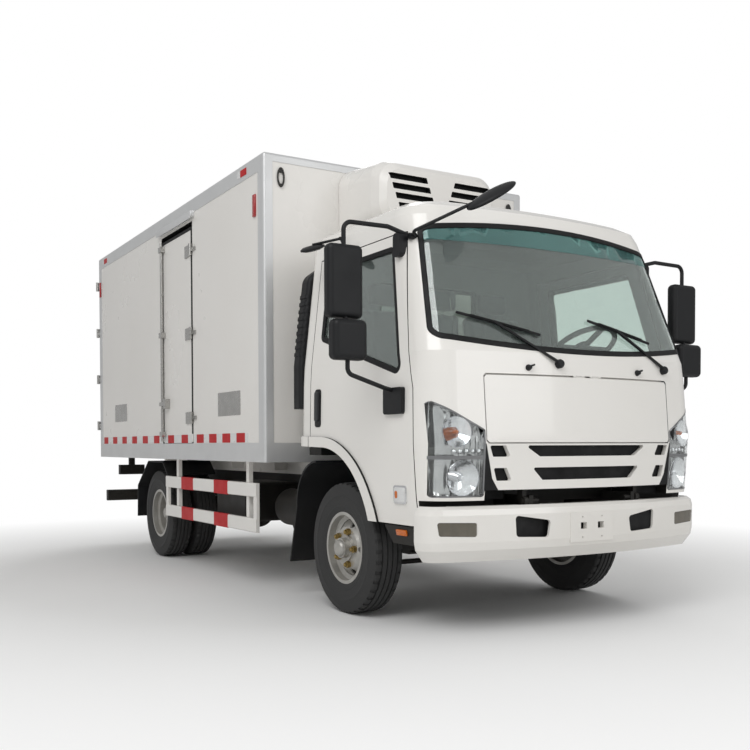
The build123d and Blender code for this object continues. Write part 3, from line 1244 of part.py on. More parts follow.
cab_outer = cab_form(0)
flare = cab_form(-FLARE_RISE, roof=False)
flare_band = side_prism(arch_outline(62), -1100, 1100) - side_prism(arch_outline(0), -1101, 1101)
flare_sides = block(-1100, -900, ahead(700), FRONT_AXLE_Y + 480, 500, 1100)
flare_sides += other_side(flare_sides)
cab_outer += flare & flare_band & flare_sides
cab_inner = cab_form(CAB_WALL, bottom=CAB_FLOOR_Z)
cab_arch = side_prism(arch_outline(0), -1200, 1200)
door_hole = side_prism(door_outline(0), 800, 1200)
door_holes = door_hole + other_side(door_hole)
far_front, far_rear = ahead(1200), ahead(500)

shell = cab_outer - cab_inner - door_holes
under_y = ahead(500)
shell -= block(-1200, 1200, under_y, FRONT_AXLE_Y + 700, 0, CAB_FLOOR_Z - CAB_FLOOR_THICKNESS)
shell -= block(-STEP_INNER_X, STEP_INNER_X, ahead(990), under_y + 1, 0, CAB_FLOOR_Z - CAB_FLOOR_THICKNESS)
shell -= block(-1200, 1200, far_front, ahead(846), 0, BUMPER_TOP_Z + 28)
shell -= cab_arch - block(-900, 900, -5000, 5000, CAB_FLOOR_Z - CAB_FLOOR_THICKNESS, 1200)
for sign in (1, -1):
    x0, x1 = sorted((sign * (STEP_INNER_X + 40), sign * 905))
    shell -= block(x0, x1, ahead(842), under_y - 40, CAB_BOTTOM_Z + 40, CAB_FLOOR_Z + 1)
    pocket = front_prism(lamp_outline(sign, 0), far_front, ahead(LAMP_REAR))
    shell -= pocket - cab_form(LAMP_DEPTH + 2, roof=False)
shell -= front_prism(windscreen_outline(0), far_front, far_rear)
cab_rear_y = FRONT_AXLE_Y + CAB_REAR
STEP_SILL_ROOT = 900.0
STEP_SILL_TUCK = 18.0
STEP_SILL_SLANT = 90.0
STEP_SILL_RAKE = 60.0
shell -= front_prism(rear_window_outline(0), cab_rear_y - CAB_WALL - 5, cab_rear_y + 5)
shell -= front_prism(lid_outline(0, 0), far_front, far_rear) - cab_form(LID_THICKNESS + 4)
shell -= front_prism(grille_outline(0), far_front, far_rear) - cab_form(GRILLE_THICKNESS + 6, roof=False)
shell -= block(-LAMP_INNER_X + 4, LAMP_INNER_X - 4, far_front, ahead(930), 0, GRILLE_BOTTOM_Z)
deck = block(-830, 830, ahead(230), FRONT_AXLE_Y + CAB_REAR - CAB_WALL, CAB_FLOOR_Z - 1, 1240)
shell += deck

sill_top = CAB_BOTTOM_Z - STEP_SILL_GAP
sill_rear_y = ahead(STEP_SILL_REAR)
sill = outline((STEP_SILL_INNER, CAB_BOTTOM_Z + 1), (STEP_SILL_INNER, STEP_SILL_Z),
               (STEP_SILL_OUTER - STEP_SILL_TUCK, STEP_SILL_Z),
               (STEP_SILL_OUTER, STEP_SILL_Z + STEP_SILL_SLANT), (STEP_SILL_OUTER, sill_top),
               (STEP_SILL_ROOT, sill_top), (STEP_SILL_ROOT, CAB_BOTTOM_Z + 1))
sill = front_prism(sill, ahead(STEP_SILL_FRONT), sill_rear_y)
sill -= side_prism(outline((sill_rear_y, STEP_SILL_Z - 1), (sill_rear_y, sill_top),
                           (ahead(STEP_SILL_REAR + STEP_SILL_RAKE), STEP_SILL_Z - 1)), 0, 2 * STEP_SILL_OUTER)
shell += sill + other_side(sill)

for sign in (1, -1):
    x = sign * (RAIL_X + TILT_LUG_OFFSET)
    y = ahead(TILT_PIVOT)
    lug = block(x - TILT_LUG / 2, x + TILT_LUG / 2, y - 2, y + 40, TILT_PIVOT_Z, GRILLE_BOTTOM_Z + 30)
    lug += rod(x, y, TILT_PIVOT_Z, TILT_PIN_RADIUS + 10, TILT_LUG, "X")
    shell += lug - rod(x, y, TILT_PIVOT_Z, TILT_PIN_RADIUS + BEARING_CLEARANCE, 2 * TILT_LUG, "X")

nodes["cab_floor"] = shell & block(-1200, 1200, -5000, 5000, 0, CAB_FLOOR_Z)
upper = shell & block(-1200, 1200, -5000, 5000, CAB_FLOOR_Z, CAB_ROOF_SPLIT_Z)
nodes["cab_back"] = upper & block(-1200, 1200, ahead(300), 5000, 0, 3000)
nodes["cab_front"] = upper & block(-1200, 1200, -5000, ahead(300), 0, 3000)
nodes["cab_roof"] = shell & block(-1200, 1200, -5000, 5000, CAB_ROOF_SPLIT_Z, 3000)


def front_piece(face, depth, step=0.0, rear=500.0):
    """Piece of the cab's front skin inside a front view, as thick as its depth."""
    piece = front_prism(face, ahead(1200), ahead(rear)) & cab_form(step)
    return piece - cab_form(step + depth)


lid = front_piece(lid_outline(MOVING_GAP, LID_HINGE_GAP), LID_THICKNESS)
lid_pin = (ahead(cab_level(LID_TOP_Z)[1]) + LID_HINGE_GAP / 2, LID_TOP_Z - LID_HINGE_GAP / 2)
pin_y, pin_z = lid_pin
for x in LID_HINGE_X:
    knuckle_half = LID_HINGE_WIDTH / 2
    lid += rod(x, *lid_pin, LID_BARREL_RADIUS, LID_HINGE_WIDTH, "X")
    lid += block(x - knuckle_half, x + knuckle_half, pin_y - LID_LUG_FRONT, pin_y + LID_BARREL_RADIUS,
                 pin_z - LID_HINGE_GAP, pin_z)
    lid -= rod(x, *lid_pin, LID_PIN_RADIUS + BEARING_CLEARANCE, LID_HINGE_WIDTH + 2, "X")
    pin = rod(x, *lid_pin, LID_PIN_RADIUS, 2 * LID_HINGE_WIDTH, "X")
    for end in (-1, 1):
        middle = x + end * 0.8 * LID_HINGE_WIDTH
        pin += rod(middle, *lid_pin, LID_BARREL_RADIUS, 0.4 * LID_HINGE_WIDTH, "X")
        pin += block(middle - 0.2 * LID_HINGE_WIDTH, middle + 0.2 * LID_HINGE_WIDTH, pin_y - LID_LUG_FRONT,
                     pin_y + LID_BARREL_RADIUS, pin_z, pin_z + LID_HINGE_GAP)
    nodes["cab_front"] += pin
nodes["front_lid"] = lid
nodes["headlamps"] = both(front_piece(lamp_outline(1, FIT_GAP), LAMP_DEPTH, rear=LAMP_REAR))


def grille():
    """Grille with two rows of slots, the middle slot of each row the widest."""
    piece = front_piece(grille_outline(FIT_GAP), GRILLE_THICKNESS)
    for top, bottom, half_top, half_bottom, inner_top, inner_bottom, outer in GRILLE_ROWS:
        slots = [outline((-half_top, top), (half_top, top), (half_bottom, bottom), (-half_bottom, bottom))]
        for sign in (1, -1):
            slots.append(outline((sign * inner_top, top), (sign * outer, top),
                                 (sign * (outer - GRILLE_TAPER / 2), bottom), (sign * inner_bottom, bottom)))
        for slot in slots:
            piece -= front_prism(fillet(slot.vertices(), GRILLE_SLOT_CORNER), ahead(1200), ahead(900))
    return piece


nodes["grille"] = grille()

windscreen = front_piece(windscreen_outline(FIT_GAP), GLASS_THICKNESS + 3, step=3.0)
back_glass_y = FRONT_AXLE_Y + CAB_REAR - CAB_WALL / 2
back_glass = front_prism(rear_window_outline(FIT_GAP), back_glass_y - GLASS_THICKNESS, back_glass_y)
nodes["cab_glass"] = solids_of(windscreen, back_glass)


def cab_door():
    """Left door skin as thick as the wall, with its window and wheel arch cut."""
    half = block(700, 1200, -5000, 5000, 0, 3000)
    door = cab_outer & side_prism(door_outline(MOVING_GAP), 700, 1200) & half
    door -= cab_form(CAB_WALL)
    door -= cab_arch
    return door - side_prism(window_outline(0), 700, 1200)


def door_glass():
    """Left door window."""
    glass = side_prism(window_outline(FIT_GAP), 700, 1200) & cab_form(14)
    return glass - cab_form(14 + GLASS_THICKNESS)


def door_mirror():
    """Left mirrors on two arms: a tall main mirror over a square wide-angle one."""
    main = block(1160, 1366, ahead(640), ahead(560), 1650, 2030)
    main = fillet(main.edges(), 30)
    wide = block(1164, 1362, ahead(690), ahead(600), 1432, 1640)
    wide = fillet(wide.edges(), 30)
    x = 1262
    upper = bent_tube([(880, ahead(610), 2120), (1000, ahead(612), 2150), (x, ahead(602), 2150),
                       (x, ahead(602), 2000)], 12, 45)
    lower = bent_tube([(950, ahead(640), 1278), (1040, ahead(645), 1296), (x, ahead(640), 1366),
                       (x, ahead(640), 1450)], 12, 40)
    link = rod(x, ahead(618), 1640, 12, 60, "Z")
    foot = block(945, 1000, ahead(740), ahead(560), 1160, 1300)
    foot = fillet(foot.edges().filter_by(Axis.X), 16) - cab_outer
    head = block(870, 936, ahead(625), ahead(560), 2000, 2128)
    head = fillet(head.edges().filter_by(Axis.X), 24) - cab_outer
    arms = (upper + lower) - cab_outer
    return arms + main + wide + link + foot + head


for side, flip in (("left", lambda s: s), ("right", other_side)):
    nodes[f"cab_{side}_door"] = flip(cab_door())
    nodes[f"cab_{side}_glass"] = flip(door_glass())
    nodes[f"cab_{side}_mirror"] = flip(door_mirror())


# Inside the cab

# Side view of the dashboard: distance ahead of the front axle and height
DASH_PROFILE = ((960.0, 1150.0), (960.0, 1470.0), (860.0, 1500.0), (640.0, 1470.0), (560.0, 1390.0),
                (600.0, 1180.0), (700.0, 1100.0))
DASH_CORNER = 30.0
DASH_HALF = 905.0


def dashboard():
    """Dashboard across the cab with the steering column."""
    lines = outline(*[(ahead(distance), z) for distance, z in DASH_PROFILE])
    panel = side_prism(fillet(lines.vertices(), DASH_CORNER), -DASH_HALF, DASH_HALF)
    return panel & cab_form(CAB_WALL + FIT_GAP, bottom=CAB_FLOOR_Z)


COLUMN_TILT = 32.0
wheel_centre = Vector(COLUMN_X, ahead(560), 1580)
column_dir = Vector(0, sin(radians(COLUMN_TILT)), cos(radians(COLUMN_TILT)))
column_plane = Plane(origin=wheel_centre, x_dir=(1, 0, 0), z_dir=column_dir)


def steering_wheel():
    """Rim, two spokes and boss about the column axis."""
    shape = Torus(STEERING_WHEEL_RADIUS, 16) + Cylinder(48, 44)
    shape += Box(2 * STEERING_WHEEL_RADIUS, 40, 16)
    shape += Pos(0, -STEERING_WHEEL_RADIUS / 2, 0) * Box(36, STEERING_WHEEL_RADIUS, 16)
    shape += Pos(0, 0, -50) * Cylinder(SHAFT_RADIUS, 100)
    return column_plane * shape


column = Pos(0, 0, -22 - MOVING_GAP - 110) * Cylinder(30, 220)
column = column_plane * (column - Pos(0, 0, -60) * Cylinder(SHAFT_RADIUS + BEARING_CLEARANCE, 90))
nodes["dashboard"] = dashboard() + column
nodes["steering_wheel"] = steering_wheel()


SEAT_BASE_Z = 1240.0
# Side view of a seat: distance behind the front axle and height over the base
SEAT_PROFILE = ((-190.0, 0.0), (-190.0, 130.0), (200.0, 110.0), (270.0, 640.0), (380.0, 640.0), (330.0, 0.0))
SEAT_CORNER = 35.0
SEAT_REST_HALF = 130.0
SEAT_REST_Y = (285.0, 370.0)
SEAT_REST_Z = (600.0, 800.0)
SEAT_REST_CORNER = 30.0


def seat(x, width):
    """Cushion, back and head restraint of one seat, as one closed form."""
    profile = outline(*[(FRONT_AXLE_Y + distance, SEAT_BASE_Z + z) for distance, z in SEAT_PROFILE])
    body = side_prism(fillet(profile.vertices(), SEAT_CORNER), x - width / 2, x + width / 2)
    y0, y1 = (FRONT_AXLE_Y + distance for distance in SEAT_REST_Y)
    z0, z1 = (SEAT_BASE_Z + rise for rise in SEAT_REST_Z)
    rest = block(x - SEAT_REST_HALF, x + SEAT_REST_HALF, y0, y1, z0, z1)
    return body + fillet(rest.edges(), SEAT_REST_CORNER)


nodes["seats"] = solids_of(seat(COLUMN_X, 500), seat(-COLUMN_X, 500), seat(0, 300))


# Outside of the cab

# How far the glass runs back and up for each millimetre along it
SCREEN_RAKE = (0.36, 0.93)


def wiper(x, z, lean, reach):
    """Wiper arm and blade lying along the glass, from a spindle in the cowl."""
    y = ahead(cab_level(z)[1] - x ** 2 / (2 * CAB_FRONT_RADIUS)) - 12
    across, up = reach * sin(radians(lean)), reach * cos(radians(lean))
    tip = (x - across, y + SCREEN_RAKE[0] * up, z + SCREEN_RAKE[1] * up)
    path = Line((x, y, z), tip)
    arm = sweep(Plane(origin=path @ 0, z_dir=path % 0) * Rectangle(16, 12), path)
    return arm + rod(x, y, z, 20, 50, "Y")


nodes["wipers"] = solids_of(*[wiper(x, 1440, 68, 560) - cab_form(0) for x in (-200, 620)])

def air_intake():
    """Ribbed intake duct behind the cab, leaning in with the cab's side to its open round mouth."""
    y = FRONT_AXLE_Y + CAB_REAR + INTAKE_DEPTH / 2
    path = FilletPolyline((-915, y, 1230), (-915, y, 1500), (-852, y, 2040), (-790, y, 2085), radius=40)
    section = RectangleRounded(INTAKE_WIDTH, INTAKE_DEPTH, INTAKE_CORNER)
    start = Plane(origin=path @ 0, x_dir=(1, 0, 0), z_dir=path % 0)
    duct = sweep(start * section, path)
    rib = RectangleRounded(INTAKE_WIDTH + 12, INTAKE_DEPTH, INTAKE_CORNER)
    lean = Vector(63, 0, 540).normalized()
    for index in range(INTAKE_RIBS):
        z = 1560 + index * 46
        at = Plane(origin=(-915 + (z - 1500) * 63 / 540, y, z), x_dir=(lean.Z, 0, -lean.X), z_dir=lean)
        duct += extrude(at * rib, 22)
    return duct


def front_mirror():
    """Flat oval mirror ahead of the right corner of the roof, on a bent arm from the pillar."""
    arm = bent_tube([(-800, ahead(622), 2095), (-900, ahead(700), 2118), (-638, ahead(937), 2264)], 9, 20)
    arm += rod(-862, ahead(650), 2105, 17, 60, "X")
    along = Vector(0.78, -0.36, 0.51).normalized()
    thin = Vector(-0.60, -0.10, 0.79)
    across = thin.cross(along).normalized()
    at = Plane(origin=(-585, ahead(958), 2285), x_dir=along, z_dir=along.cross(across))
    dish = scale(Sphere(100), (1.45, 0.85, 0.26)) & Pos(0, 0, 40) * Box(400, 400, 100)
    return (arm - cab_form(0)) + at * dish


nodes["air_intake"] = air_intake()
nodes["front_mirror"] = front_mirror()

os.makedirs("parts", exist_ok=True)
for name, shape in nodes.items():
    whole = shape if isinstance(shape, Compound) else Compound(children=[*shape.solids()])
    export_step(whole, f"parts/{name}.step")
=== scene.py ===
"""Looks of a refrigerated truck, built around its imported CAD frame.

Lengths are metres in the frame of the CAD model: the front faces -Y, the truck's left is +X
and the tyres stand on Z = 0.
"""

import logging
import math
from contextlib import contextmanager
from dataclasses import dataclass
from enum import Enum
from typing import Callable, Iterator, Sequence

import bmesh
import bpy
from mathutils import Matrix, Vector
from mathutils.bvhtree import BVHTree


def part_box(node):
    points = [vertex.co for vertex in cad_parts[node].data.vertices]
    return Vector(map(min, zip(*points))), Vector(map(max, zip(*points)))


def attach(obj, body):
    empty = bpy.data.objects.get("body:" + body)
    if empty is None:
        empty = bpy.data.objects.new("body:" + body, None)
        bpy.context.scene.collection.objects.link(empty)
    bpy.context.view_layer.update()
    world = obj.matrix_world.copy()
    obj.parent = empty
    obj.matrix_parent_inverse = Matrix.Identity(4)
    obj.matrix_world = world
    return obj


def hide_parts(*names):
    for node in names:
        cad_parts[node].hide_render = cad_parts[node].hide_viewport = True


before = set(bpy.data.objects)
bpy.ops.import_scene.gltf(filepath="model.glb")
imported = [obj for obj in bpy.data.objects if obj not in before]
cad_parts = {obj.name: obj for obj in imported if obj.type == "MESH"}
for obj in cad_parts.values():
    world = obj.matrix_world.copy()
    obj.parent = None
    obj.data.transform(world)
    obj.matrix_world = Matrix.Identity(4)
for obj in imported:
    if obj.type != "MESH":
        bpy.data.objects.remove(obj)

Piece = bpy.types.Object
Tree = bpy.types.NodeTree
Socket = bpy.types.NodeSocket
Point = Sequence[float]
Span = tuple[float, float]
Triple = tuple[float, float, float]
Profile = Sequence[Span]
FaceTest = Callable[[Vector, Vector], bool]

FRONT_AXLE = -1.9025
SIDES = (("left", 1.0), ("right", -1.0))
CAB_MIDDLE = Vector((0.0, FRONT_AXLE - 0.2, 1.6))
# Places well outside the truck, from which lines find its surface
AHEAD, BESIDE, ABOVE = -4.0, 3.0, 3.0
# Share of a face's normal along an axis, from a square look to a slight one
SQUARE, STEEP, HALF, SLANT, LEAN, SLIGHT = 0.9, 0.7, 0.5, 0.4, 0.35, 0.3
# Side of a sheet on which its thickness grows
INWARDS, ASTRIDE, OUTWARDS = -1.0, 0.0, 1.0
# Bevels of trim
FINE_EDGE, TRIM_EDGE, BOLD_EDGE = 0.001, 0.002, 0.003
# Angles in degrees over which an edge stays sharp, on trim and on round pieces
EDGE_ANGLE, ROUND_ANGLE = 35.0, 60.0

# Shares and ranges of the shaders
MM_PER_M = 1000.0
WAVE_PERIOD = 6.28
PATCH_RANGE = (0.3, 0.7)
ROUGH_SPREAD = 0.15
RELIEF_SHARE = 0.25
ROAD_DUST = "#8c8374"
WHITE = (1.0, 1.0, 1.0, 1.0)

log = logging.getLogger("truck")


# Shader tools

def linear(code: str) -> tuple[float, float, float, float]:
    """Turns an sRGB hex colour into linear light.

    Args:
        code: colour such as "#f4f2ee".

    Returns:
        Linear red, green and blue with an alpha of one.
    """
    parts = [int(code[i:i + 2], 16) / 255.0 for i in (1, 3, 5)]
    return (*(p / 12.92 if p <= 0.04045 else ((p + 0.055) / 1.055) ** 2.4 for p in parts), 1.0)


def add_node(tree: Tree, kind: str, sockets: dict | None = None, **settings: object) -> bpy.types.Node:
    """Adds a shader node with its settings, values and links.

    Args:
        tree: node tree that takes the node.
        kind: Blender's name of the node type.
        sockets: input name or index to a value, or to an output socket that feeds it.
        settings: properties of the node.

    Returns:
        The new node.
    """
    made = tree.nodes.new(kind)
    for key, value in settings.items():
        setattr(made, key, value)
    for key, value in (sockets or {}).items():
        if isinstance(value, Socket):
            tree.links.new(value, made.inputs[key])
        else:
            made.inputs[key].default_value = value
    return made


def ranged(tree: Tree, value: Socket, source: Span, target: Span) -> Socket:
    """Maps a value from one range to another."""
    sockets = {0: value, 1: source[0], 2: source[1], 3: target[0], 4: target[1]}
    return add_node(tree, "ShaderNodeMapRange", sockets).outputs[0]


def blended(tree: Tree, share: Socket, first: object, second: object) -> Socket:
    """Mixes two colours by a share."""
    return add_node(tree, "ShaderNodeMix", {0: share, 6: first, 7: second}, data_type="RGBA").outputs[2]


def reckoned(tree: Tree, operation: str, first: Socket, second: Socket) -> Socket:
    """Works out a value from two others."""
    return add_node(tree, "ShaderNodeMath", {0: first, 1: second}, operation=operation).outputs[0]


def clouds(tree: Tree, place: Socket, scale: float, detail: float = 2.0) -> Socket:
    """Draws soft noise."""
    sockets = {"Vector": place, "Scale": scale, "Detail": detail}
    return add_node(tree, "ShaderNodeTexNoise", sockets).outputs[0]


def waves(tree: Tree, place: Socket, scale: float, way: str, wobble: float = 0.0) -> Socket:
    """Draws waves along one axis."""
    sockets = {"Vector": place, "Scale": scale / WAVE_PERIOD, "Distortion": wobble}
    return add_node(tree, "ShaderNodeTexWave", sockets, bands_direction=way).outputs["Fac"]


def eye_rays(tree: Tree) -> Socket:
    """Picks the rays that reach the eye straight or through glass."""
    rays = add_node(tree, "ShaderNodeLightPath").outputs
    return reckoned(tree, "MAXIMUM", rays["Is Camera Ray"], rays["Is Transmission Ray"])


class Pattern(Enum):
    """Fine structure drawn on a finish."""

    GRAIN = "moulded or sprayed grain"
    BRUSHED = "streaks of brushing or extrusion"
    WEAVE = "two crossed threads"
    CELLS = "cells of a reflective film"
    FLUTES = "upright flutes of a lamp lens"


@dataclass(frozen=True)
class Finish:
    """A real material: two colours in soft patches, a fine pattern and road dust low down."""

    name: str
    colour: str
    patch_colour: str
    roughness: float
    metallic: float = 0.0
    ior: float = 1.5
    coat: float = 0.0
    transmission: float = 0.0
    sheen: float = 0.0
    patch_mm: float = 350.0
    pattern: Pattern = Pattern.GRAIN
    pattern_mm: float = 12.0
    relief: float = 0.05
    dust: float = 0.0
    dust_height: float = 1.1

    def fine_pattern(self, tree: Tree, place: Socket) -> Socket:
        """Draws the fine structure.

        Args:
            tree: node tree of the material.
            place: object coordinates in metres.

        Returns:
            Height between nought and one.
        """
        scale = MM_PER_M / self.pattern_mm
        if self.pattern is Pattern.BRUSHED:
            streaks = add_node(tree, "ShaderNodeMapping", {"Vector": place, "Scale": (1.0, 0.04, 0.25)})
            return clouds(tree, streaks.outputs[0], scale, 3.0)
        if self.pattern is Pattern.WEAVE:
            return reckoned(tree, "MULTIPLY", *(waves(tree, place, scale, way, 0.4) for way in ("X", "Z")))
        if self.pattern is Pattern.CELLS:
            sockets = {"Vector": place, "Scale": scale, "Randomness": 0.15}
            return add_node(tree, "ShaderNodeTexVoronoi", sockets, feature="DISTANCE_TO_EDGE").outputs[0]
        if self.pattern is Pattern.FLUTES:
            return waves(tree, place, scale, "X")
        return clouds(tree, place, scale)

    def make(self) -> bpy.types.Material:
        """Builds the material, or returns the one already built.

        Returns:
            The material with its nodes.
        """
        if self.name in bpy.data.materials:
            return bpy.data.materials[self.name]
        material = bpy.data.materials.new(self.name)
        material.use_nodes = True
        tree = material.node_tree
        shader = tree.nodes["Principled BSDF"]
        place = add_node(tree, "ShaderNodeTexCoord").outputs["Object"]
        patches = clouds(tree, place, MM_PER_M / self.patch_mm, 5.0)
        fine = self.fine_pattern(tree, place)
        colour = blended(tree, patches, linear(self.colour), linear(self.patch_colour))
        # The grooves take the darker second colour: painted shade between the threads of a weave, and the
        # film's own cell lines on a reflective film
        if self.pattern in (Pattern.WEAVE, Pattern.CELLS):
            grooves = ranged(tree, fine, (0.0, 0.25), (0.55, 0.0))
            colour = blended(tree, grooves, colour, linear(self.patch_colour))
        if self.dust:
            height = add_node(tree, "ShaderNodeSeparateXYZ", {0: place}).outputs[2]
            low = ranged(tree, height, (0.0, self.dust_height), (self.dust, 0.0))
            spread = ranged(tree, patches, PATCH_RANGE, (0.35, 1.0))
            colour = blended(tree, reckoned(tree, "MULTIPLY", low, spread), colour, linear(ROAD_DUST))
        ends = (self.roughness * (1 - ROUGH_SPREAD), self.roughness * (1 + ROUGH_SPREAD))
        tree.links.new(colour, shader.inputs["Base Color"])
        tree.links.new(ranged(tree, patches, PATCH_RANGE, ends), shader.inputs["Roughness"])
        if self.relief:
            depth = self.pattern_mm / MM_PER_M * RELIEF_SHARE
            sockets = {"Height": fine, "Strength": self.relief, "Distance": depth}
            bump = add_node(tree, "ShaderNodeBump", sockets)
            tree.links.new(bump.outputs[0], shader.inputs["Normal"])
        values = {"Metallic": self.metallic, "Coat Weight": self.coat, "Sheen Weight": self.sheen,
                  "Transmission Weight": self.transmission}
        if self.metallic == 0.0:
            values["IOR"] = self.ior
        for name, value in values.items():
            shader.inputs[name].default_value = value
        return material


class Finishes:
    """The finishes of the truck, each named for what it is made of."""

    # Sprayed enamel over steel: bright, glossy, with a faint orange peel
    enamel = Finish("white_enamel", "#f3f1ed", "#ebe8e2", 0.2, coat=0.5, patch_mm=900, pattern_mm=14,
                    relief=0.03, dust=0.3, dust_height=0.8)
    # Gelcoat on glass fibre skins: white, half gloss, slightly wavy over the foam
    gelcoat = Finish("white_gelcoat", "#eeece8", "#e6e3de", 0.3, patch_mm=800, pattern_mm=260, relief=0.04,
                     dust=0.25, dust_height=1.3)
    # Anodised extrusions: pale satin metal with streaks along their length
    anodised = Finish("anodised_aluminium", "#e2e3e3", "#d2d3d4", 0.42, metallic=0.55, patch_mm=420,
                      pattern=Pattern.BRUSHED, pattern_mm=8, relief=0.06, dust=0.3, dust_height=1.2)
    # Moulded ABS with an eroded texture, drawn coarser than real so that it shows
    black_abs = Finish("black_abs", "#141517", "#1c1d1f", 0.5, ior=1.38, patch_mm=160, pattern_mm=7,
                       relief=0.16, dust=0.04)
    # EPDM glazing rubber: dull black with a thin bloom
    rubber = Finish("epdm_rubber", "#0c0d0e", "#151617", 0.58, ior=1.38, patch_mm=90, pattern_mm=6,
                    relief=0.08)
    # Carbon black tyre rubber: matt, greyed by the road
    tyre = Finish("tyre_rubber", "#0f0f0f", "#191817", 0.78, ior=1.38, patch_mm=120, pattern_mm=8,
                  relief=0.2, dust=0.06, dust_height=0.8)
    # Chassis paint: black, half gloss and dusty
    frame_paint = Finish("chassis_paint", "#0f0f0f", "#181716", 0.5, ior=1.4, patch_mm=220, pattern_mm=9,
                         relief=0.12, dust=0.1)
    # Sand cast iron: dark grey and rough
    iron = Finish("cast_iron", "#343536", "#44423f", 0.6, metallic=0.5, patch_mm=140, pattern_mm=6,
                  relief=0.3, dust=0.12)
    # Stainless fittings: bright, brushed
    stainless = Finish("stainless_steel", "#c9c8c5", "#aeadaa", 0.28, metallic=1.0, patch_mm=70,
                       pattern=Pattern.BRUSHED, pattern_mm=5, relief=0.05)
    # Rolled aluminium tank: dull bright metal
    tank = Finish("rolled_aluminium", "#a9abad", "#8f9193", 0.42, metallic=0.9, patch_mm=180,
                  pattern=Pattern.BRUSHED, pattern_mm=9, relief=0.08, dust=0.4)
    # Silver wheel lacquer with brake dust
    wheel_lacquer = Finish("silver_lacquer", "#c3c2be", "#aaa8a3", 0.36, metallic=0.55, patch_mm=90,
                           pattern_mm=5, relief=0.05, dust=0.3, dust_height=0.7)
    # Yellow passivated zinc on the wheel nuts
    zinc = Finish("yellow_zinc", "#b99f63", "#8f7a4e", 0.34, metallic=1.0, patch_mm=20, pattern_mm=4,
                  relief=0.1)
    # Float glass: clear with a faint green body, its index raised so that it mirrors more
    glass = Finish("float_glass", "#e3efe9", "#dfece7", 0.02, transmission=0.93, ior=1.7, patch_mm=600,
                   relief=0.0)
    # Tinted film in the top of the laminated windscreen
    shade_film = Finish("green_shade_film", "#8cc2bf", "#95c9c5", 0.06, transmission=0.78, patch_mm=500,
                        relief=0.0)
    # Polycarbonate lamp lens: water clear
    lens = Finish("clear_polycarbonate", "#f6f8f8", "#f1f4f4", 0.03, transmission=1.0, ior=1.49, patch_mm=300,
                  relief=0.0)
    # Pressed lens over the fog lamps: smoky and fluted
    smoky_lens = Finish("smoky_lens", "#6d675a", "#524d43", 0.1, coat=0.4, patch_mm=60,
                        pattern=Pattern.FLUTES, pattern_mm=14, relief=0.15)
    # Signal lenses moulded in colour
    red_lens = Finish("red_lens", "#b8121a", "#930d13", 0.14, coat=0.3, patch_mm=50, pattern=Pattern.FLUTES,
                      pattern_mm=9, relief=0.35)
    amber_lens = Finish("amber_lens", "#d9701a", "#b95a12", 0.14, coat=0.3, patch_mm=50,
                        pattern=Pattern.FLUTES, pattern_mm=9, relief=0.35)
    # Vacuum metallised lamp bowls
    chrome = Finish("metallised_bowl", "#e9e9ea", "#d5d6d8", 0.08, metallic=1.0, patch_mm=40, pattern_mm=16,
                    relief=0.12)
    # Metallised lamp housings with moulded flutes that spread the light
    reflector = Finish("fluted_reflector", "#cbcbca", "#a9aaaa", 0.22, metallic=0.9, patch_mm=70,
                       pattern=Pattern.FLUTES, pattern_mm=16, relief=1.0)
    # Grey lamp bezels and trim
    bezel = Finish("grey_bezel", "#8b8c8d", "#747577", 0.34, metallic=0.4, patch_mm=60, pattern_mm=6,
                   relief=0.06)
    # Silvered glass of the mirrors
    mirror = Finish("silvered_glass", "#dde2e5", "#d4dadd", 0.02, metallic=1.0, patch_mm=200, relief=0.0)
    # Microprismatic film: small cells that break up the colour
    red_film = Finish("red_reflective_film", "#cc141b", "#b01016", 0.4, ior=1.3, patch_mm=90,
                      pattern=Pattern.CELLS, pattern_mm=12, relief=0.1)
    white_film = Finish("white_reflective_film", "#ebebe9", "#d3d4d4", 0.3, coat=0.3, patch_mm=90,
                        pattern=Pattern.CELLS, pattern_mm=12, relief=0.1)
    # Woven polyester on the seats, its thread drawn coarse enough to show
    cloth = Finish("woven_polyester", "#5d6064", "#3f4145", 0.9, sheen=0.35, patch_mm=120,
                   pattern=Pattern.WEAVE, pattern_mm=7, relief=0.35)
    # Grained polypropylene inside the cab
    trim = Finish("grey_polypropylene", "#7d8083", "#6d7073", 0.55, patch_mm=200, pattern_mm=6, relief=0.14)
    dark_trim = Finish("dark_polypropylene", "#2b2d2f", "#35373a", 0.5, patch_mm=150, pattern_mm=6,
                       relief=0.14)
    # Painted shadow: deep openings are painted black so that a slot reads as a hole
    shadow_black = Finish("painted_shadow_black", "#08080a", "#0d0d0f", 0.8, patch_mm=100, pattern_mm=8, relief=0.1)


# Modelling tools

def deselect() -> None:
    """Leaves nothing selected."""
    bpy.ops.object.select_all(action="DESELECT")


def activate(piece: Piece) -> None:
    """Selects one piece alone and makes it active.

    Args:
        piece: piece to select.
    """
    deselect()
    piece.select_set(True)
    bpy.context.view_layer.objects.active = piece


@contextmanager
def editing(piece: Piece) -> Iterator[None]:
    """Keeps one piece in edit mode.

    Args:
        piece: mesh object to edit.
    """
    activate(piece)
    bpy.ops.object.mode_set(mode="EDIT")
    yield
    bpy.ops.object.mode_set(mode="OBJECT")


def pick(piece: Piece, test: FaceTest) -> int:
    """Selects the faces that pass a test on their middle and normal, in edit mode.

    Args:
        piece: piece in edit mode.
        test: answers for a face's middle and normal.

    Returns:
        How many faces are selected.
    """
    bpy.ops.mesh.select_mode(type="FACE")
    bpy.ops.mesh.select_all(action="DESELECT")
    mesh = bmesh.from_edit_mesh(piece.data)
    chosen = [face for face in mesh.faces if test(face.calc_center_median(), face.normal)]
    for face in chosen:
        face.select_set(True)
    bmesh.update_edit_mesh(piece.data)
    return len(chosen)


